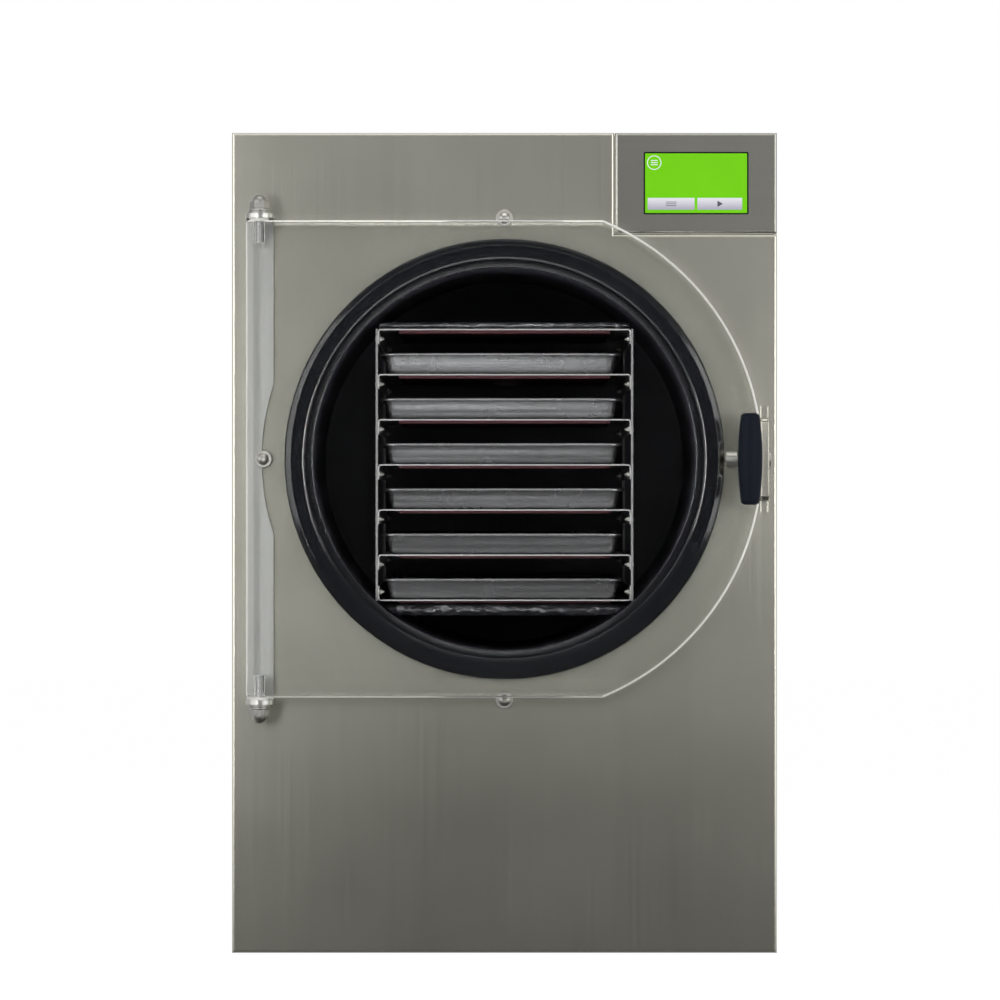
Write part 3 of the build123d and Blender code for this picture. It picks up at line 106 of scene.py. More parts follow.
def turned(profile, centre_point, axis, sides=48):
    """Lathe: point (r, h) of the profile goes to centre + h * axis + r * (cos t * u + sin t * v), t over a full
    turn."""
    axis = np.array(axis, float)
    u = np.cross(axis, [0, 0, 1] if abs(axis[2]) < 0.9 else [1, 0, 0])
    u /= np.linalg.norm(u)
    v = np.cross(axis, u)
    t = np.linspace(0, TAU, sides, endpoint=False)
    around = np.cos(t)[:, None] * u + np.sin(t)[:, None] * v
    radius, height = np.array(profile, float).T
    points = radius[:, None, None] * around[None] + (height[:, None] * axis)[:, None, :] + np.array(centre_point)
    return points, grid_faces(len(profile), sides)


def hexed(profile, flats, centre_point, axis, sides=72):
    """Like a lathe, but the radius is at most that of a hexagon with that width across its flats:
    flats / 2 / cos(angle from the nearest flat)."""
    points, faces = turned(profile, centre_point, axis, sides)
    axis = np.array(axis, float)
    t = np.linspace(0, TAU, sides, endpoint=False)
    limit = flats / 2 / np.cos((t + TAU / 12) % (TAU / 6) - TAU / 12)
    offset = points - np.array(centre_point)
    along = offset @ axis
    across = offset - along[..., None] * axis
    radius = np.linalg.norm(across, axis=-1)
    scale = np.minimum(1, limit[None] / np.maximum(radius, 1e-9))
    return np.array(centre_point) + along[..., None] * axis + across * scale[..., None], faces


def together(parts):
    """Joins (points, faces) pairs into one."""
    points, faces, count = [], [], 0
    for p, f in parts:
        p = np.asarray(p).reshape(-1, 3)
        points.append(p)
        faces.append(f + count)
        count += len(p)
    return np.concatenate(points), np.concatenate(faces)


def arc(centre_r, centre_h, radius, start, stop, count=8):
    """Points of a circular arc in a profile, from one angle to another in degrees."""
    t = np.radians(np.linspace(start, stop, count))
    return np.stack([centre_r + radius * np.cos(t), centre_h + radius * np.sin(t)], -1).tolist()


def ramp(x, low, high):
    """Smooth step: 0 below low, 1 above high, and 3t^2 - 2t^3 between."""
    t = np.clip((x - low) / (high - low), 0, 1)
    return t * t * (3 - 2 * t)


def creases(u, v, seed):
    """Crinkle height: the weighted mean, doubled, of sharp ridges (1 - |sin|)^2 along lines of random direction.
    Each is bent by a slow wave, and comes and goes over the sheet."""
    folds, mean_rate = 26, 330.0
    chance = np.random.default_rng(seed)
    height = np.zeros_like(u)
    weight = 0.0
    for _ in range(folds):
        turn = chance.uniform(0, math.pi)
        rate = mean_rate * chance.uniform(0.4, 2.2)
        bent = 0.0015 * np.sin(chance.uniform(60, 180) * (u - v) + chance.uniform(0, TAU))
        across = u * math.cos(turn) + v * math.sin(turn) + bent
        along_u = np.sin(chance.uniform(8, 30) * u + chance.uniform(0, TAU))
        along_v = np.sin(chance.uniform(8, 30) * v + chance.uniform(0, TAU))
        here = 0.5 + 0.5 * along_u * along_v
        share = 1 / rate**0.5
        height += share * here * (1 - np.abs(np.sin(rate * across + chance.uniform(0, TAU)))) ** 2
        weight += share
    return height / weight * 2


# ---------------------------------------------------------------- shader graphs


class Wire:
    """A socket that can be written in sums: each operator adds one Math node."""

    def __init__(self, finish, socket):
        self.finish, self.socket = finish, socket

    def _with(self, operation, other, swap=False):
        pair = (other, self) if swap else (self, other)
        return self.finish.node("ShaderNodeMath", *pair, operation=operation)

    def __add__(self, other): return self._with("ADD", other)
    def __radd__(self, other): return self._with("ADD", other)
    def __sub__(self, other): return self._with("SUBTRACT", other)
    def __rsub__(self, other): return self._with("SUBTRACT", other, True)
    def __mul__(self, other): return self._with("MULTIPLY", other)
    def __gt__(self, other): return self._with("GREATER_THAN", other)
    def __lt__(self, other): return self._with("LESS_THAN", other)
    def __pow__(self, other): return self._with("POWER", other)


def scaled(colour, factor):
    """Colour with each channel times a factor, at most 1."""
    return tuple(min(1.0, c * factor) for c in colour)


class Finish:
    """A node material around one Principled shader."""

    def __init__(self, name, **fixed):
        self.material = bpy.data.materials.new(name)
        self.material.use_nodes = True
        self.tree = self.material.node_tree
        self.shader = self.tree.nodes["Principled BSDF"]
        for key, value in fixed.items():
            socket = self.shader.inputs[key.replace("_", " ")]
            socket.default_value = (*value, 1.0) if isinstance(value, tuple) and len(value) == 3 else value

    def node(self, kind, *values, output=0, named=None, **settings):
        """New node: values go to its inputs in order, named ones by name; settings are its own properties."""
        made = self.tree.nodes.new(kind)
        for key, value in settings.items():
            setattr(made, key, value)
        for socket, value in zip(made.inputs, values):
            self.put(socket, value)
        for key, value in (named or {}).items():
            self.put(made.inputs[key], value)
        return Wire(self, made.outputs[output])

    def put(self, socket, value):
        if isinstance(value, Wire):
            self.tree.links.new(value.socket, socket)
        elif value is not None:
            if isinstance(value, tuple) and len(value) == 3 and len(socket.default_value) == 4:
                value = (*value, 1.0)
            socket.default_value = value

    def set(self, **wires):
        for key, value in wires.items():
            self.put(self.shader.inputs[key.replace("_", " ")], value)

    def place(self, scale=(1, 1, 1)):
        """Position in the object's own frame, stretched by scale."""
        spot = self.node("ShaderNodeTexCoord", output=3)
        return self.node("ShaderNodeVectorMath", spot, scale, operation="MULTIPLY")

    def part(self, axis):
        return self.node("ShaderNodeSeparateXYZ", self.place(), output="XYZ".index(axis))

    def noise(self, stretch, scale=1.0, detail=2.0, rough=0.5):
        named = {"Vector": self.place(stretch), "Scale": scale, "Detail": detail, "Roughness": rough}
        return self.node("ShaderNodeTexNoise", named=named)

    def cells(self, scale, output=0):
        return self.node("ShaderNodeTexVoronoi", named={"Vector": self.place(), "Scale": scale}, output=output)

    def bands(self, scale, across):
        named = {"Vector": self.place(), "Scale": scale, "Distortion": 0.0}
        return self.node("ShaderNodeTexWave", named=named, bands_direction=across)

    def blend(self, share, low, high):
        """Colour between two others."""
        made = self.tree.nodes.new("ShaderNodeMix")
        made.data_type = "RGBA"
        self.put(made.inputs[0], share)
        self.put(made.inputs[6], low)
        self.put(made.inputs[7], high)
        return Wire(self, made.outputs[2])

    def bump(self, height, strength, distance=0.001, under=None):
        named = {"Strength": strength, "Distance": distance, "Height": height, "Normal": under}
        return self.node("ShaderNodeBump", named=named)

    def spread(self, value, low, high, out_low=0.0, out_high=1.0):
        """Value taken from one range to another in proportion, held at the ends."""
        return self.node("ShaderNodeMapRange", value, low, high, out_low, out_high)


def brushed(name, colour, along="Z", rough=0.24, streak=0.025, cloud=0.03):
    """Brushed sheet: streaks many times longer than wide along one axis, over faint cloudy smears."""
    finish = Finish(name, Metallic=1.0, Anisotropic=0.2)
    coarse, fine = 5.0, 1600.0
    grain = finish.noise(tuple(coarse if axis == along else fine for axis in "XYZ"), detail=3.0)
    band = finish.noise(tuple(coarse / 3 if axis == along else fine / 14 for axis in "XYZ"), detail=2.0)
    smear = finish.noise((1, 1, 1), scale=5.0, detail=3.0, rough=0.6)
    share = 0.5 + (grain - 0.5) * streak * 2 + (band - 0.5) * streak + (smear - 0.5) * cloud * 4
    finish.set(
        Base_Color=finish.blend(share, scaled(colour, 0.86), scaled(colour, 1.14)),
        Roughness=rough + (grain - 0.5) * 0.05 + (smear - 0.5) * 0.05,
        Normal=finish.bump(grain, 0.006, 0.0002),
    )
    return finish.material


def drawn_sheet(name, colour):
    """Pressed and polished sheet: low waves drawn out along X, seen as soft level streaks, and a fine grain."""
    finish = Finish(name, Metallic=1.0)
    wave = finish.noise((3.0, 30.0, 190.0), detail=2.0)
    grain = finish.noise((1, 1, 1), scale=1200.0, detail=2.0)
    smear = finish.noise((1, 1, 1), scale=22.0, detail=3.0, rough=0.6)
    share = 0.5 + (wave - 0.5) * 1.8 + (smear - 0.5) * 0.15
    finish.set(
        Base_Color=finish.blend(share, scaled(colour, 0.65), scaled(colour, 1.35)),
        Roughness=0.27 + (smear - 0.5) * 0.04,
        Normal=finish.bump(wave, 0.4, 0.0004, finish.bump(grain, 0.02, 0.0002)),
    )
    return finish.material


def moulded(name, colour, rough=0.5, grain_scale=900.0, depth=0.15, coat=0.0, gloss=0.5, wear_depth=0.16):
    """Moulded or painted surface: fine even grain, with a slow change of gloss from handling."""
    finish = Finish(name, Coat_Weight=coat, Coat_Roughness=0.15, Specular_IOR_Level=gloss)
    grain = finish.noise((1, 1, 1), scale=grain_scale, detail=2.0)
    wear = finish.noise((1, 1, 1), scale=14.0, detail=4.0, rough=0.6)
    light = tuple(min(1, c * 1.15 + 0.002) for c in colour)
    finish.set(
        Base_Color=finish.blend(wear, scaled(colour, 0.85), light),
        Roughness=rough + (wear - 0.5) * wear_depth,
        Normal=finish.bump(grain, depth, 0.0002),
    )
    return finish.material


def plated(name, colour=(0.50, 0.49, 0.46), rough=0.36):
    """Bright turned or plated metal: faint turning marks and small changes of gloss."""
    finish = Finish(name, Metallic=1.0)
    mark = finish.noise((1, 1, 1), scale=350.0, detail=2.0)
    wear = finish.noise((1, 1, 1), scale=60.0, detail=3.0)
    finish.set(
        Base_Color=finish.blend(wear, scaled(colour, 0.9), colour),
        Roughness=rough + (wear - 0.5) * 0.10,
        Normal=finish.bump(mark, 0.05, 0.0002),
    )
    return finish.material


def zinc(name, colour):
    """Zinc-coated sheet: flat spangles a few millimetres across, each a little lighter or darker."""
    finish = Finish(name, Metallic=0.9)
    tone = finish.node("ShaderNodeSeparateColor", finish.cells(130.0, output=1))
    wear = finish.noise((1, 1, 1), scale=9.0, detail=4.0)
    share = 0.3 + tone * 0.4 + (wear - 0.5) * 0.4
    finish.set(
        Base_Color=finish.blend(share, scaled(colour, 0.82), scaled(colour, 1.12)),
        Roughness=0.38 + tone * 0.12,
    )
    return finish.material


def clear_acrylic():
    """Cast acrylic.  Shadow rays pass, so what lies behind the door is lit.  The sawn and flame-polished edge gathers
    light: a band 0.7 to 1.5 mm wide along the outline, by the distance from the round side, the level sides and the
    hinge side."""
    clear_colour = (0.985, 0.99, 0.985)
    finish = Finish("clear_acrylic", Base_Color=clear_colour, Roughness=0.0, IOR=1.49, Transmission_Weight=1.0)
    low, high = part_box("door_panel")
    radius, half, middle = high.x, (high.z - low.z) / 2, (high.z + low.z) / 2
    x, z = finish.part("X"), finish.part("Z") - middle
    from_axis = (x * x + z * z) ** 0.5
    away = finish.node("ShaderNodeMath", z, operation="ABSOLUTE")
    round_band, level_band, hinge_band = 0.0015, 0.0007, 0.0012
    round_side = (from_axis > radius - round_band) * (x > 0.0)
    level_side = away > half - level_band
    hinge_side = x < low.x + hinge_band
    edge = finish.node("ShaderNodeMath", round_side + level_side, hinge_side, operation="ADD", use_clamp=True)
    tree = finish.tree
    rim = tree.nodes.new("ShaderNodeBsdfPrincipled")
    for key, value in {"Base Color": (0.82, 0.81, 0.77, 1), "Metallic": 0.6, "Roughness": 0.45}.items():
        rim.inputs[key].default_value = value
    clear, frosted = Wire(finish, finish.shader.outputs[0]), Wire(finish, rim.outputs[0])
    body = finish.node("ShaderNodeMixShader", edge * 0.80, clear, frosted)
    passing = finish.node("ShaderNodeBsdfTransparent", (0.93, 0.94, 0.935))
    shadow = finish.node("ShaderNodeLightPath", output=1)
    mixed = finish.node("ShaderNodeMixShader", shadow, body, passing)
    finish.put(tree.nodes["Material Output"].inputs["Surface"], mixed)
    return finish.material


def silicone_mat():
    """Dark red silicone heater mat: a fine woven face over the raised line of its element."""
    finish = Finish("silicone_mat", Specular_IOR_Level=0.4)
    weave, cross, element = finish.bands(260.0, "X"), finish.bands(260.0, "Y"), finish.bands(22.0, "X")
    wear = finish.noise((1, 1, 1), scale=30.0, detail=3.0)
    colour = finish.blend(0.35 + wear * 0.3 + element * 0.2, (0.060, 0.010, 0.016), (0.120, 0.020, 0.030))
    finish.set(
        Base_Color=colour,
        Roughness=0.42 + wear * 0.12,
        Normal=finish.bump(weave + cross, 0.25, 0.0002, finish.bump(element, 0.4, 0.0006)),
    )
    return finish.material


def crinkled_foil(name, dull, clean):
    """Foil laminate: flat facets between sharp creases, bright where one faces a light, duller where it is rubbed."""
    finish = Finish(name, Metallic=0.9)
    facet, crease = finish.cells(160.0), finish.cells(62.0)
    fold = finish.noise((1, 1, 1), scale=240.0, detail=3.0, rough=0.6)
    rub = finish.noise((1, 1, 1), scale=28.0, detail=3.0)
    finish.set(
        Base_Color=finish.blend(rub, dull, clean),
        Roughness=0.10 + rub * 0.16,
        Normal=finish.bump(fold * 0.35 + facet * 0.6 + crease, 1.0, 0.0035),
    )
    return finish.material


def circuit_board():
    """Green solder mask with fine straight tracks under it."""
    finish = Finish("circuit_board", Roughness=0.35, Coat_Weight=0.4)
    named = {"Vector": finish.place(), "Scale": 90.0, "Mortar Size": 0.06}
    track = finish.node("ShaderNodeTexBrick", named=named, output=1)
    wear = finish.noise((1, 1, 1), scale=40.0)
    finish.set(
        Base_Color=finish.blend(track * 0.6 + wear * 0.2, (0.012, 0.09, 0.035), (0.03, 0.22, 0.09)),
        Normal=finish.bump(track, 0.2, 0.0002),
    )
    return finish.material


def foam_cover():
    """Closed-cell black foam: small pits of uneven size."""
    finish = Finish("cell_foam", Roughness=0.85)
    cell = finish.cells(420.0)
    wear = finish.noise((1, 1, 1), scale=18.0, detail=4.0)
    finish.set(
        Base_Color=finish.blend(wear, (0.018, 0.018, 0.020), (0.045, 0.045, 0.048)),
        Normal=finish.bump(cell, 0.5, 0.0006),
    )
    return finish.material


STAINLESS = (0.525, 0.517, 0.451)
steel_front = brushed("brushed_front", STAINLESS, along="Z")
steel_wrap = brushed("brushed_wrap", STAINLESS, along="Z", rough=0.28)
steel_fascia = brushed("brushed_fascia", (0.37, 0.365, 0.331), along="X", rough=0.24)
steel_rack = brushed("rack_steel", (0.50, 0.495, 0.495), along="Y", rough=0.38, cloud=0.05)
steel_upright = brushed("upright_steel", (0.31, 0.305, 0.305), along="Z", rough=0.38, cloud=0.05)
steel_tray = drawn_sheet("tray_steel", (0.33, 0.33, 0.34))
steel_bracket = brushed("bracket_steel", (0.455, 0.455, 0.435), along="Z", rough=0.30, streak=0.015)
steel_keeper = brushed("keeper_steel", (0.43, 0.42, 0.37), along="Z", rough=0.25, streak=0.015)
drum_inside = moulded("dark_drum", (0.125, 0.120, 0.150), rough=0.34, grain_scale=500.0, depth=0.1)
zinc_sheet = zinc("zinc_sheet", (0.50, 0.51, 0.52))
bright = plated("bright_plate")
satin_pin = plated("satin_pin", (0.38, 0.38, 0.37), 0.60)
satin_nut = plated("satin_nut", (0.34, 0.335, 0.315), 0.44)
black_rubber = moulded(
    "moulded_rubber", (0.0040, 0.0044, 0.0062),
    rough=0.12, grain_scale=700.0, depth=0.004, gloss=0.90, wear_depth=0.01,
)
foot_rubber = moulded("foot_rubber", (0.02, 0.02, 0.022), rough=0.75, grain_scale=900.0)
handle_plastic = moulded(
    "handle_plastic", (0.0040, 0.0062, 0.0115), rough=0.50, grain_scale=1400.0, depth=0.10, gloss=0.07
)
black_plastic = moulded("textured_plastic", (0.022, 0.022, 0.024), rough=0.5, grain_scale=1500.0, depth=0.25)
gloss_plastic = moulded("gloss_plastic", (0.012, 0.012, 0.013), rough=0.18, grain_scale=300.0, depth=0.02, coat=0.5)
white_nylon = moulded("white_nylon", (0.74, 0.73, 0.69), rough=0.45, grain_scale=600.0, depth=0.08)
black_paint = moulded("semi_gloss_paint", (0.018, 0.018, 0.019), rough=0.34, grain_scale=260.0, depth=0.10)
fan_metal = plated("rolled_aluminium", (0.62, 0.62, 0.63), 0.34)
copper_tube = plated("drawn_copper", (0.70, 0.36, 0.22), 0.26)
turned_brass = plated("turned_brass", (0.68, 0.50, 0.24), 0.24)
acrylic = clear_acrylic()
red_mat = silicone_mat()
foil = crinkled_foil("crinkled_foil", (0.10, 0.10, 0.11), (0.42, 0.42, 0.44))
shaded_foil = crinkled_foil("rubbed_foil", (0.03, 0.03, 0.034), (0.20, 0.20, 0.21))
board_green = circuit_board()
foam = foam_cover()

dress = {
    "front_panel": steel_front, "cabinet_wrap": steel_wrap, "control_fascia": steel_fascia,
    "base_pan": zinc_sheet, "mid_deck": zinc_sheet, "rear_panel": zinc_sheet, "chamber_saddles": zinc_sheet,
    "glide_feet": foot_rubber, "display_module": black_plastic, "control_board": board_green,
    "vacuum_chamber": drum_inside, "door_gasket": black_rubber, "evaporator_coil": copper_tube,
    "insulation_jacket": foam, "chamber_bolts": bright, "hinge_bracket": steel_bracket, "hinge_pins": satin_pin,
    "hinge_bushes": white_nylon, "hinge_washers": satin_nut, "hinge_nuts": bright, "door_panel": acrylic,
    "latch_shaft": bright, "latch_cross_pin": bright, "latch_collars": bright, "latch_handle": handle_plastic,
    "latch_keeper": steel_keeper, "rack_uprights": steel_upright, "heater_mats": red_mat, "foil_pads": foil,
    "compressor": black_paint, "compressor_grommets": foot_rubber, "fan_shroud": black_paint,
    "fan_motor": black_paint, "fan_rotor": fan_metal, "condenser": black_paint, "filter_drier": copper_tube,
    "copper_lines": copper_tube,
    "vacuum_port": steel_rack, "drain_valve_body": turned_brass, "drain_valve_plug": bright,
    "drain_valve_lever": black_plastic, "power_entry": black_plastic, "switch_rocker": gloss_plastic,
    "touch_screen": gloss_plastic,
}
for number in range(1, 8):
    dress[f"shelf_{number}"] = steel_rack
for number in range(1, 7):
    dress[f"tray_{number}"] = steel_tray
for name, material in dress.items():
    for slot in nodes[name].material_slots:
        slot.material = material


# ---------------------------------------------------------------- door gasket


def gasket_ring():
    """Section (r, distance ahead of the ring's foot) turned about the drum's axis.  On the latch's side, within
    12 mm of the middle's height, what stands more than 4 mm ahead is cut back to 5.5 mm inside the outer edge, so
    that the latch's collar passes."""
    notch_half, notch_end, notch_in, notch_foot = 0.0118, 0.0126, 0.0055, 0.004
    low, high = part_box("door_gasket")
    outer, middle = (high.x - low.x) / 2, (low.z + high.z) / 2
    ahead = high.y - low.y

    def at(inset, behind):
        return outer - inset, ahead - behind

    # skirt, which ends just ahead of the panel, and the outer wall
    section = [(outer - 0.0038, 0.0), (outer - 0.0005, 0.0), (outer, 0.0005)]
    section += arc(*at(0.0004, 0.0052), 0.0004, 0, 90, 5)
    # shallow groove, then the shoulder's cone
    section += [at(0.0009, 0.0048), at(0.0011, 0.0056), at(0.0014, 0.0056)]
    section += arc(*at(0.0023, 0.0028), 0.0009, 5, 66, 7)
    section += [at(0.0022, 0.00186), at(0.0052, 0.00052)]
    section += arc(*at(0.0060, 0.0017), 0.0014, 66, 90, 6)
    # flat face, and the thin lip that rises from it, nearly to the front
    section += [at(0.0064, 0.0003), at(0.0168, 0.0003), at(0.0171, 0.00029)]
    section += [at(0.0173, 0.00026), at(0.0185, 0.00006)]
    section += arc(*at(0.01868, 0.00065), 0.0006, 81, 178, 7)
    # step down to the bore, and its rounded edge
    section += [at(0.0193, 0.0044), at(0.0196, 0.0048), at(0.0257, 0.0048)]
    section += arc(*at(0.0262, 0.0052), 0.0005, 60, 240, 6)
    # hollow that clips over the drum's rim
    section += [at(0.0069, 0.0057), at(0.0069, 0.0123), at(0.0172, 0.0123)]
    section += [at(0.0172, 0.0160), at(0.0038, 0.0160)]
    section = np.array(section)
    t = np.linspace(0, TAU, 360, endpoint=False)
    radius, angle = np.meshgrid(section[:, 0], t, indexing="ij")
    depth = np.broadcast_to(section[:, 1:], radius.shape)
    window = (1 - ramp(np.abs(radius * np.sin(angle)), notch_half, notch_end)) * (np.cos(angle) > 0)
    radius = radius - window * np.clip(radius - (outer - notch_in), 0, None) * (depth > notch_foot)
    points = np.stack([radius * np.cos(angle), high.y - depth, middle + radius * np.sin(angle)], -1)
    faces = grid_faces(len(section), len(t), closed_rows=True)
    ring = surface("gasket_ring", points, faces, "cabinet", black_rubber, 50)
    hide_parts("door_gasket")


gasket_ring()


# ---------------------------------------------------------------- trays


def outline(inset, half_x, half_y, corner):
    """Rounded rectangle drawn in by inset: corner centres stay, and the corner's radius is corner - inset."""
    steps = 14
    quarter = np.linspace(0, TAU / 4, steps)
    x, y = [], []
    for k, (sx, sy) in enumerate([(1, 1), (-1, 1), (-1, -1), (1, -1)]):
        t = quarter + k * TAU / 4
        radius = max(corner - inset, 0.0004)
        shrink = max(inset - corner, 0.0)
        x.append(sx * (half_x - corner - shrink) + radius * np.cos(t))
        y.append(sy * (half_y - corner - shrink) + radius * np.sin(t))
    return np.concatenate(x), np.concatenate(y)


TRAY_CORNER = 0.0143
# each tray stands this far to the right of the middle, in the order of their numbers
TRAY_SHIFTS = (-0.0035, -0.0030, -0.0022, -0.0010, -0.0025, -0.0018)


def tray_pan(number):
    """Stamped pan: the section (inset from the rim's edge, height) is carried round a rounded rectangle.  From the
    curled edge it goes in along the flange, down the sloping wall, round the floor's edge and over the floor."""
    low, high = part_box(f"tray_{number}")
    half_x, half_y = (high.x - low.x) / 2, (high.y - low.y) / 2
    tall, wall = high.z - low.z, 0.0008
    curl, lip_radius, floor_radius = 0.0017, 0.0016, 0.0048
    middle_line = arc(curl, tall - curl, curl - wall / 2, 250, 90, 12)
    middle_line += [(0.0024, tall - wall / 2)]
    middle_line += arc(0.0034, tall - wall / 2 - lip_radius, lip_radius, 90, 15, 6)
    middle_line += [(0.0062, tall * 0.55)]
    middle_line += arc(0.0124, floor_radius + wall / 2, floor_radius, 195, 270, 9)
    middle_line = np.array(middle_line)
    slope = np.gradient(middle_line, axis=0)
    slope /= np.linalg.norm(slope, axis=1)[:, None]
    side = np.stack([slope[:, 1], -slope[:, 0]], -1) * wall / 2
    upper, lower = middle_line - side, middle_line + side
    loops = np.concatenate([lower[::-1], upper])
    rows = []
    for inset, height in loops:
        x, y = outline(inset, half_x, half_y, TRAY_CORNER)
        rows.append(np.stack([x, y, np.full_like(x, height)], -1))
    # the floor's two sides close on a line along Y
    shut = np.array([0.0, 0.55, 1.0])
    points = np.stack([rows[0] * shut, *rows, rows[-1] * shut])
    points += [(low.x + high.x) / 2 + TRAY_SHIFTS[number - 1], (low.y + high.y) / 2, low.z]
    faces = grid_faces(*points.shape[:2])
    pan = surface(f"tray_pan_{number}", points, faces, "cabinet", steel_tray, 40)
    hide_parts(f"tray_{number}")


for number in range(1, 7):
    tray_pan(number)


# ---------------------------------------------------------------- foil pads


def foil_pad(name, low_z, high_z, half_at, seed, laminate):
    """Flat pillow: its section is a squared oval whose half width at height z is half_at(z); crinkles only cut
    inwards.  It swells from its two ends."""
    low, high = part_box("foil_pads")
    axis_z = centre("vacuum_chamber")[2]
    t = np.linspace(0, TAU, 260, endpoint=False)
    square, swell_length, push_length = 0.16, 0.0035, 0.0025
    deep, shallow = 0.0011, 0.0005
    cos, sin = np.cos(t), np.sin(t)
    across = np.sign(cos) * np.abs(cos) ** square
    rise = np.sign(sin) * np.abs(sin) ** square
    v = np.linspace(0, 1, 300)
    end = np.minimum(v, 1 - v) * (high.y - low.y)
    swell = np.clip(end / swell_length, 0, 1) ** 0.5
    z = (low_z + high_z) / 2 + (high_z - low_z) / 2 * rise[None] * (0.25 + 0.75 * swell[:, None])
    x = half_at(z - axis_z) * across[None] * (0.985 + 0.015 * swell[:, None])
    y = low.y + (high.y - low.y) * v[:, None] + 0 * x
    dent = creases(x, y + z * 3, seed) * deep
    dent = dent + creases(x * 2.3 + 0.1, y * 2.1 + z * 5, seed + 5) * shallow
    z = z - np.sign(rise[None]) * dent * np.abs(rise[None])
    x = x - np.sign(across[None]) * dent * np.abs(across[None]) ** 4
    push = np.exp(-end / push_length)[:, None] * dent
    y = y + np.where(v < 0.5, 1, -1)[:, None] * push
    rows = np.stack([x, y, z], -1)
    cap = rows[[0, -1]].copy()
    cap[..., 2] = (low_z + high_z) / 2
    cap[..., 0] *= 0.98
    rows = np.concatenate([cap[:1], rows, cap[1:]])
    pad = surface(name, rows, grid_faces(*rows.shape[:2]), "cabinet", laminate, 80)
    return pad


pads_low, pads_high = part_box("foil_pads")
shelf_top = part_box("shelf_1")[1].z
mat_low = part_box("heater_mats")[0].z
PAD_HALF, PAD_RADIUS = 0.1192, 0.1800  # half width, and the radius that the low pad stays within
PAD_GAP = 0.0002  # to the shelf and to the mat


def straight_side(z):
    return PAD_HALF + 0 * z


def side_in_drum(z):
    """Half width that stays inside the drum's round wall."""
    return np.minimum(PAD_HALF, np.sqrt(PAD_RADIUS**2 - z**2))


upper_pad = foil_pad("foil_pad_top", shelf_top + PAD_GAP, pads_high.z, straight_side, 3, foil)
lower_pad = foil_pad("foil_pad_low", pads_low.z, mat_low - PAD_GAP, side_in_drum, 8, shaded_foil)
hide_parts("foil_pads")
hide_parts("foil_pads")


# ---------------------------------------------------------------- latch handle


def latch_bar():
    """Barrel, round about its height: its radius at height h is end + (waist - end) * (1 - (h / half)^2), with
    rounded ends; a short neck joins it to the door."""
    low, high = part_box("latch_handle")
    middle = centre("latch_handle")
    half = (high.z - low.z) / 2
    waist, end = (high.x - low.x) / 2, 0.0084
    axis_y = low.y + waist
    h = np.linspace(-half, half, 61)
    curve = end + (waist - end) * (1 - (h / half) ** 2)
    rounding = 0.003
    from_end = half - np.abs(h)
    chord = np.sqrt(np.clip(rounding**2 - (rounding - from_end) ** 2, 0, None))
    drop = np.where(from_end < rounding, rounding - chord, 0)
    bar_profile = [(0, -half)] + list(zip(curve - drop, h)) + [(0, half)]
    bar = turned(bar_profile, (middle[0], axis_y, middle[2]), (0, 0, 1), 64)
    hub_r, neck_start = 0.0095, 0.004
    neck_front, neck_back = axis_y + neck_start, high.y
    long, bevel = neck_back - neck_front, 0.0008
    neck_profile = [(0, 0), (hub_r * 0.72, 0), (hub_r * 0.80, long * 0.45)]
    neck_profile += [(hub_r, long - bevel), (hub_r - bevel, long), (0, long)]
    neck = turned(neck_profile, (middle[0], neck_front, middle[2]), (0, 1, 0), 48)
    points, faces = together([bar, neck])
    piece = surface("latch_bar", points, faces, "handle", handle_plastic, 40)
    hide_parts("latch_handle")


latch_bar()


# ---------------------------------------------------------------- fasteners


def socket_screw(place, axis, head, tall, flange, flange_tall):
    """Domed head on a flange, with a round socket sunk in its top."""
    socket, sunk, bevel = 0.0021, 0.0006, 0.0004
    floor = flange_tall + tall * 0.45
    crown = [(0, floor), (socket * 0.98, floor), (socket, flange_tall + tall * 0.97)]
    top = arc(0, flange_tall - sunk, tall + sunk, 90, 12, 9)
    top = [(max(socket * 1.12, r * head / (tall + sunk)), h) for r, h in top]
    rim = [(head, flange_tall), (flange - bevel, flange_tall), (flange, flange_tall - bevel), (flange, 0), (0, 0)]
    return turned(crown + top + rim, place, axis, 48)


def dome_nut(place, axis, flats, hex_tall, dome, tall):
    """Round flange, a hexagon with a turned chamfer on it, and a dome on that."""
    corner, foot, lap, bevel = flats / math.sqrt(3), 0.0034, 0.0002, 0.0006
    wide, wide_face = 0.0094, 0.0088
    hex_profile = [(0, foot - lap), (corner, foot - lap), (corner, hex_tall - bevel)]
    hex_profile += [(corner * 0.9, hex_tall), (dome, hex_tall), (0, hex_tall)]
    hexagon = hexed(hex_profile, flats, place, axis)
    flange_profile = [(0, 0), (wide_face, 0), (wide, bevel), (wide, foot - 0.0014), (wide_face, foot - bevel)]
    flange = turned(flange_profile + [(corner, foot), (0, foot)], place, axis, 60)
    dome_profile = [(dome, hex_tall - lap)]
    dome_profile += [(dome * r, hex_tall + (tall - hex_tall) * h) for r, h in arc(0, 0, 1, 0, 90, 14)]
    cap = turned(dome_profile, place, axis, 48)
    return together([flange, hexagon, cap])


def small_nut(place, axis):
    """Plain nut with the screw's end standing out of it."""
    flats, tall, stud, stud_tall = 0.0055, 0.0022, 0.0015, 0.0046
    corner = flats / math.sqrt(3)
    nut_profile = [(0, 0), (corner, 0), (corner, tall - 0.0003)]
    nut_profile += [(corner * 0.9, tall), (stud, tall), (0, tall)]
    nut = hexed(nut_profile, flats, place, axis, 24)
    end_profile = [(stud, tall * 0.9), (stud, stud_tall - 0.0004), (stud - 0.0004, stud_tall), (0, stud_tall)]
    end = turned(end_profile, place, axis, 16)
    return together([nut, end])


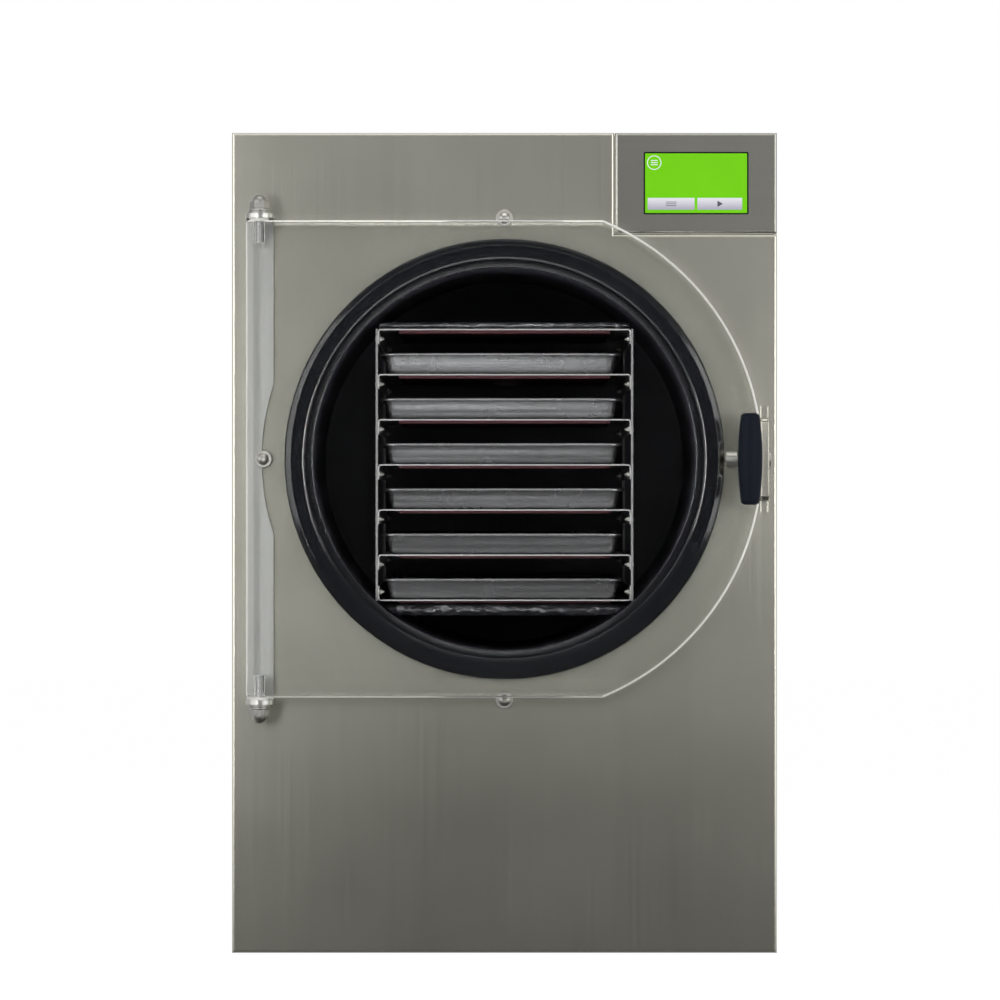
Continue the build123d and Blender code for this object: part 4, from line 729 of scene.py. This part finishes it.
def pan_screw(place, axis, head=0.0038, tall=0.0022):
    """Low round head with a small recess."""
    profile = [(0, tall * 0.5), (0.0011, tall * 0.55), (0.0013, tall * 0.99)]
    profile += [(max(0.0014, head * r), tall * h) for r, h in arc(0, 0, 1, 88, 0, 8)]
    profile += [(head, 0), (0, 0)]
    return turned(profile, place, axis, 20)


BOLT_RING = 0.2275  # radius of the bolts' circle about the drum's axis
BOLT_HEAD = (0.0056, 0.0042, 0.0082, 0.0012)  # head's radius and height, flange's radius and height
BOLT_OFF = 0.0002  # gap between a head's foot and the panel's face
LEFT_BOLT_OFF = 0.0042  # the left one is ahead of the hinge bracket, whose plate is 4 mm thick

chamber = centre("vacuum_chamber")
panel_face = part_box("front_panel")[0].y
forward = (0, -1, 0)
heads = [
    socket_screw((0, panel_face - BOLT_OFF, chamber[2] + BOLT_RING), forward, *BOLT_HEAD),
    socket_screw((0, panel_face - BOLT_OFF, chamber[2] - BOLT_RING), forward, *BOLT_HEAD),
    socket_screw((-BOLT_RING, panel_face - LEFT_BOLT_OFF, chamber[2]), forward, *BOLT_HEAD),
]
# the right bolt is flat, because the latch passes over it
flat_profile = [(0, 0.0007), (0.0018, 0.0007), (0.002, 0.0012), (0.0078, 0.0012)]
flat_profile += [(0.0082, 0.0008), (0.0082, 0), (0, 0)]
flat_head = turned(flat_profile, (BOLT_RING, panel_face - BOLT_OFF, chamber[2]), forward, 48)
points, faces = together(heads + [flat_head])
bolt_heads = surface("chamber_bolt_heads", points, faces, "cabinet", bright, 30)
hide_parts("chamber_bolts")

nuts_low, nuts_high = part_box("hinge_nuts")
hinge = centre("hinge_pins")
washers_low, washers_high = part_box("hinge_washers")
NUT = (0.0155, 0.0088, 0.0068)  # width across flats, hexagon's height, dome's radius
points, faces = together([
    dome_nut((hinge[0], hinge[1], washers_high.z), (0, 0, 1), *NUT, nuts_high.z - washers_high.z),
    dome_nut((hinge[0], hinge[1], washers_low.z), (0, 0, -1), *NUT, washers_low.z - nuts_low.z),
])
caps = surface("hinge_dome_nuts", points, faces, "cabinet", satin_nut, 30)
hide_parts("hinge_nuts")

SHELF_NUT_IN = 0.0013  # from the shelf's outer face to the nut's foot
NUT_BELOW_TOP, NUT_ABOVE_FOOT = 0.0095, 0.0085  # on shelves 1 to 6, and on the lowest
RACK_END = 0.0105  # from the rack's front and back to its nuts
LOW_HEAD, HEAD_OFF = (0.0024, 0.0005), 0.0001  # radius and height of the heads outside the rack; their gap to it

rack_low, rack_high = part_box("rack_uprights")
rack_nuts = []
for number in range(1, 8):
    shelf_low, shelf_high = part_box(f"shelf_{number}")
    inside = shelf_high.x - SHELF_NUT_IN
    level = shelf_high.z - NUT_BELOW_TOP if number < 7 else shelf_low.z + NUT_ABOVE_FOOT
    for y in (rack_low.y + RACK_END, rack_high.y - RACK_END):
        for side in (-1, 1):
            rack_nuts.append(small_nut((side * inside, y, level), (-side, 0, 0)))
            rack_nuts.append(pan_screw((side * (rack_high.x + HEAD_OFF), y, level), (side, 0, 0), *LOW_HEAD))
points, faces = together(rack_nuts)
surface("rack_nuts", points, faces, "cabinet", bright, 30)

EDGE, LOW_EDGE = 0.008, 0.009  # from the wrap's sides and top, and from its foot, to the screws

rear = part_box("rear_panel")[1]
wrap_low, wrap_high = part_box("cabinet_wrap")
spots = [
    (side * (wrap_high.x - EDGE), z)
    for z in np.linspace(wrap_low.z + 0.03, wrap_high.z - EDGE, 6)
    for side in (-1, 1)
]
spots += [(x, wrap_high.z - EDGE) for x in np.linspace(-0.15, 0.15, 4)]
spots += [(x, wrap_low.z + LOW_EDGE) for x in (-0.24, -0.12, 0.0, 0.12, 0.24)]
rear_screws = [pan_screw((x, rear.y, z), (0, 1, 0)) for x, z in spots]
points, faces = together(rear_screws)
surface("rear_screws", points, faces, "cabinet", bright, 30)


# ---------------------------------------------------------------- keeper and seam strip


def swept(section, path, outward):
    """Section (a, b) carried along a path: point = path + a * across + b * outward, with across always +X."""
    across = np.array([1.0, 0.0, 0.0])
    section = np.array(section)
    points = path[:, None, :] + section[None, :, :1] * across + section[None, :, 1:] * outward[:, None, :]
    count, around = points.shape[:2]
    ends = np.stack([points[0].mean(0), points[-1].mean(0)])
    points = np.concatenate([np.repeat(ends[:1], around, 0)[None], points, np.repeat(ends[1:], around, 0)[None]])
    return points, grid_faces(count + 2, around)


def latch_bridge():
    """Strap folded over the cross pin's end, with a rounded rib along each edge.  Its path runs up the foot, out
    along the leg, over the web and back, with round corners.  The section's ribs stand 0.6 mm proud."""
    low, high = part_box("latch_keeper")
    width, plate = high.x - low.x, 0.0024
    half, foot, reach = (high.z - low.z) / 2, 0.013, high.y - low.y - plate
    leg = half - foot
    middle = (low.z + high.z) / 2
    bend, corner = 0.0006, 0.0030
    line = [(half, 0.0), (leg + bend, 0.0)]
    line += [(leg + bend - bend * math.sin(a), bend - bend * math.cos(a)) for a in np.linspace(0.2, TAU / 4, 5)]
    line += [(leg, reach - corner)]
    round_corner = np.linspace(0.15, TAU / 4, 8)
    line += [(leg - corner + corner * math.cos(a), reach - corner + corner * math.sin(a)) for a in round_corner]
    line = np.array(line + [(-z, d) for z, d in line[::-1]])
    slope = np.gradient(line, axis=0)
    slope /= np.linalg.norm(slope, axis=1)[:, None]
    out_z, out_d = slope[:, 1], -slope[:, 0]
    path = np.stack([np.full(len(line), low.x), high.y - line[:, 1], middle + line[:, 0]], -1)
    outward = np.stack([np.zeros(len(line)), -out_d, out_z], -1)
    rib, proud = 0.00075, 0.0006
    section = [(0.0004, 0.0), (0.0, 0.0004), (0.0, plate - rib)]
    section += [(rib - rib * math.cos(a), plate - rib + rib * math.sin(a)) for a in np.linspace(0.15, 2.6, 9)]
    section += [(2.15 * rib, plate - proud), (2.35 * rib, plate - proud), (width / 2, plate - proud)]
    section += [(width - a, b) for a, b in section[::-1][1:]]
    points, faces = swept(section, path, outward)
    piece = surface("latch_bridge", points, faces, "cabinet", steel_keeper, 50)
    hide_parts("latch_keeper")


latch_bridge()


def seam_strip():
    """Narrow strip that closes the gap round the fascia's two inner edges: a T section whose cap lies a little behind
    the panel's face, run down the upright seam and along the level one."""
    low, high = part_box("control_fascia")
    face, gap = low.y, 0.0006
    x, z = low.x - gap, low.z - gap
    cap, stem, end_gap = 0.00095, 0.0004, 0.0025
    depths = [(stem, 0.0060), (stem, 0.0011), (cap, 0.0009), (cap, 0.0006), (cap - 0.00015, 0.0005)]
    section = np.array(depths + [(-a, d) for a, d in depths[::-1]])
    corners = [(x, high.z - end_gap, 1, 0), (x, z, 1, 1), (high.x - end_gap, z, 0, 1)]
    across, depth = section.T
    rows = [np.stack([px + across * ax, face + depth, pz + across * az], -1) for px, pz, ax, az in corners]
    ends = [np.repeat(row.mean(0)[None], len(section), 0) for row in (rows[0], rows[-1])]
    points = np.stack([ends[0], *rows, ends[1]])
    surface("seam_strip", points, grid_faces(5, len(section)), "cabinet", steel_front, 30)


seam_strip()


# ---------------------------------------------------------------- touch screen


def lit_display():
    """Field of colour with a ring and three bars at its upper left, and two pale buttons with plain signs: three
    lines, and a triangle.  Each shape is a rule on x and z."""
    finish = Finish("lit_display", Roughness=0.16, Coat_Weight=0.3)
    low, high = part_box("touch_screen")
    x = finish.part("X")
    z = finish.part("Z")

    def inside(left, bottom, right, top):
        return (x > left) * (x < right) * (z > bottom) * (z < top)

    def disc(cx, cz, radius):
        dx, dz = x - cx, z - cz
        return (dx * dx + dz * dz) < radius * radius

    def stripes(cx, cz, half_long, half_tall, step):
        """Three level bars, one above another."""
        first, second, third = (
            inside(cx - half_long, level - half_tall, cx + half_long, level + half_tall)
            for level in (cz + step, cz, cz - step)
        )
        return first + second + third

    border = 0.0010
    left, right, bottom, top = low.x + border, high.x - border, low.z + border, high.z - border
    field = inside(left, bottom, right, top)
    button_low, button_high = bottom + 0.0030, bottom + 0.0142
    gap = (left + right) / 2 - 0.0006
    first_left, first_right = left + 0.0024, gap - 0.0008
    second_left, second_right = gap + 0.0018, right - 0.0046
    buttons = inside(first_left, button_low, first_right, button_high)
    buttons = buttons + inside(second_left, button_low, second_right, button_high)
    shade = finish.spread(z, button_low, button_high, 0.0, 1.0)
    button_colour = finish.blend(shade, (0.42, 0.41, 0.50), (0.84, 0.83, 0.88))
    icon_x, icon_z = left + 0.0086, top - 0.0087
    ring = disc(icon_x, icon_z, 0.0068) - disc(icon_x, icon_z, 0.0060)
    bars = stripes(icon_x, icon_z, 0.0032, 0.0004, 0.0020)
    glow = finish.noise((1, 1, 1), scale=25.0)
    green = finish.blend(glow, (0.165, 0.620, 0.006), (0.190, 0.680, 0.008))
    colour = finish.blend(field, (0.006, 0.010, 0.006), green)
    colour = finish.blend(ring + bars, colour, (0.86, 0.90, 0.86))
    colour = finish.blend(buttons, colour, button_colour)
    sign_z = (button_low + button_high) / 2
    first_x, second_x = (first_left + first_right) / 2, (second_left + second_right) / 2
    lines = stripes(first_x, sign_z, 0.005, 0.0003, 0.0017)
    height = finish.node("ShaderNodeMath", z - sign_z, operation="ABSOLUTE")
    slope = height * 1.7 + x
    triangle = (x > second_x - 0.0022) * (slope < second_x + 0.0030) * (height < 0.0026)
    colour = finish.blend(lines + triangle, colour, (0.10, 0.10, 0.13))
    finish.set(Base_Color=finish.blend(0.45, (0.0, 0.0, 0.0), colour), Emission_Color=colour)
    finish.shader.inputs["Emission Strength"].default_value = 0.48
    return finish.material


for slot in nodes["touch_screen"].material_slots:
    slot.material = lit_display()


# ---------------------------------------------------------------- stage, light and camera


FRONT_LEFT, FRONT_RIGHT = 1.60, 0.76  # level of the grey wall that gloss sees on the door side
GREY_BEGINS, GREY_FULL = 0.86, 0.955  # cosines of the angles from -Y
SIDE_WALL = 0.55  # level of the walls that gloss sees elsewhere
DIFFUSE_LEVEL = 0.30  # of the world, for diffuse light
SCREEN_EDGE, SCREEN_FADE = 3.6, 8.0  # degrees from -Y: the dark screen's edge, and where it has faded out
LAMPS = (  # name, place, aim, width, height, watts, beam in degrees
    ("key_left", (-1.49, -1.45, 0.66), (-0.15, -0.3, 0.47), 2.2, 1.8, 20, 180),
    ("fill_right", (1.34, -1.25, 0.52), (0.15, -0.3, 0.47), 1.5, 1.4, 13, 180),
    ("strip_left", (-0.62, -1.55, 0.46), (-0.25, -0.3, 0.45), 0.09, 0.60, 2.3, 180),
    ("strip_right", (0.60, -1.55, 0.47), (0.25, -0.3, 0.47), 0.07, 0.40, 1.3, 180),
    ("top", (0, -0.9, 2.3), (0, 0, 0.4), 1.8, 1.0, 12, 180),
    ("low_front", (0, -1.80, 0.03), (0, -0.3, 0.62), 0.6, 0.3, 0.10, 34),
)


def seen_directly(finish):
    """1 for a ray from the camera, and for one that has passed through glass and not bounced off anything."""
    seen = finish.node("ShaderNodeLightPath", output=0)
    through = finish.node("ShaderNodeLightPath", output=6)
    bounced = finish.node("ShaderNodeLightPath", output=10) + finish.node("ShaderNodeLightPath", output=11)
    return finish.node("ShaderNodeMath", seen, through * (bounced < 0.5), operation="MAXIMUM")


def stage_floor():
    """Large pale floor at the object's foot.  It is white to the camera, also through glass.  Gloss sees its level
    fall from 1 to 0.04 between 0.22 and 0.31 m ahead of the object's middle."""
    size, below = 12.0, 0.0003
    points = np.array([(-size, -size, 0), (size, -size, 0), (size, size, 0), (-size, size, 0)])
    points[:, 2] = frame_box[0][2] - below
    mesh = bpy.data.meshes.new("floor")
    mesh.from_pydata(points.tolist(), [], [(0, 1, 2, 3)])
    floor = bpy.data.objects.new("floor", mesh)
    bpy.context.scene.collection.objects.link(floor)
    finish = Finish("pale_floor", Base_Color=(0.85, 0.85, 0.85), Roughness=0.9)
    gloss = finish.node("ShaderNodeLightPath", output=3)
    direct = seen_directly(finish)
    ahead = finish.spread(finish.part("Y"), -0.31, -0.22, 0.04, 1.0)
    glow = finish.node("ShaderNodeEmission", (1.0, 1.0, 1.0), direct * 1.05 + (1.0 - direct) * gloss * ahead)
    share = direct * 0.93 + (1.0 - direct) * gloss * 0.97
    mixed = finish.node("ShaderNodeMixShader", share, Wire(finish, finish.shader.outputs[0]), glow)
    finish.put(finish.tree.nodes["Material Output"].inputs["Surface"], mixed)
    mesh.materials.append(finish.material)


def studio_world():
    """White to the camera, also through glass, and a softer level for diffuse light.  Gloss sees walls of a middle
    level, darker overhead on the door side.  Towards -Y it sees a grey wall instead, which begins 31 degrees from it
    and is full within 17: lighter to the left and upwards, with a dark screen in its middle."""
    world = bpy.data.worlds.new("studio")
    bpy.context.scene.world = world
    world.use_nodes = True
    air = Finish.__new__(Finish)
    air.tree = world.node_tree
    direction = air.node("ShaderNodeTexCoord", output=0)
    split = [air.node("ShaderNodeSeparateXYZ", direction, output=k) for k in range(3)]
    forward = split[1] * -1.0
    wall = air.spread(forward, GREY_BEGINS, GREY_FULL, 1.0, 0.0)
    lean = air.spread(split[0], -0.30, 0.20, FRONT_LEFT, FRONT_RIGHT)
    up = air.spread(split[2], 0.02, 0.20, 0.08, 1.45)
    grey = lean * up
    fade, edge = math.cos(math.radians(SCREEN_FADE)), math.cos(math.radians(SCREEN_EDGE))
    hole = air.spread(forward, fade, edge, 1.0, 0.01)
    ceiling = 1.0 - air.spread(forward, 0.20, 0.60) * air.spread(split[2], 0.25, 0.60, 0.0, 0.90)
    mirrored = (wall * ceiling * SIDE_WALL + (1.0 - wall) * grey) * hole
    gloss = air.node("ShaderNodeLightPath", output=3)
    direct = seen_directly(air)
    strength = direct + (1.0 - direct) * ((1.0 - gloss) * DIFFUSE_LEVEL + gloss * mirrored)
    background = air.tree.nodes["Background"]
    air.put(background.inputs["Color"], (1.0, 1.0, 1.0))
    air.put(background.inputs["Strength"], strength)


def softbox(name, place, aim, width, tall, power, beam):
    """Rectangular lamp that faces a point."""
    light = bpy.data.lights.new(name, "AREA")
    light.shape = "RECTANGLE"
    light.size, light.size_y = width, tall
    light.energy = power
    light.spread = math.radians(beam)
    lamp = bpy.data.objects.new(name, light)
    bpy.context.scene.collection.objects.link(lamp)
    lamp.location = place
    lamp.rotation_euler = (Vector(aim) - Vector(place)).to_track_quat("-Z", "Y").to_euler()


def door_side_camera():
    """Long lens on the door side, level, near the middle of the frame: it sees view_width at the front panel."""
    reach, view_width, sensor = 7.5, 0.944, 36.0
    side, height = -0.0042, 0.4295
    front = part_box("front_panel")[0].y
    camera = bpy.data.cameras.new("camera")
    camera.sensor_width = sensor
    camera.lens = sensor * reach / view_width
    camera.clip_end = 60
    holder = bpy.data.objects.new("camera", camera)
    bpy.context.scene.collection.objects.link(holder)
    holder.location = (side, front - reach, height)
    holder.rotation_euler = (math.radians(90), 0, 0)
    bpy.context.scene.camera = holder


stage_floor()
studio_world()
for lamp in LAMPS:
    softbox(*lamp)
door_side_camera()
bpy.context.scene.view_settings.view_transform = "Standard"
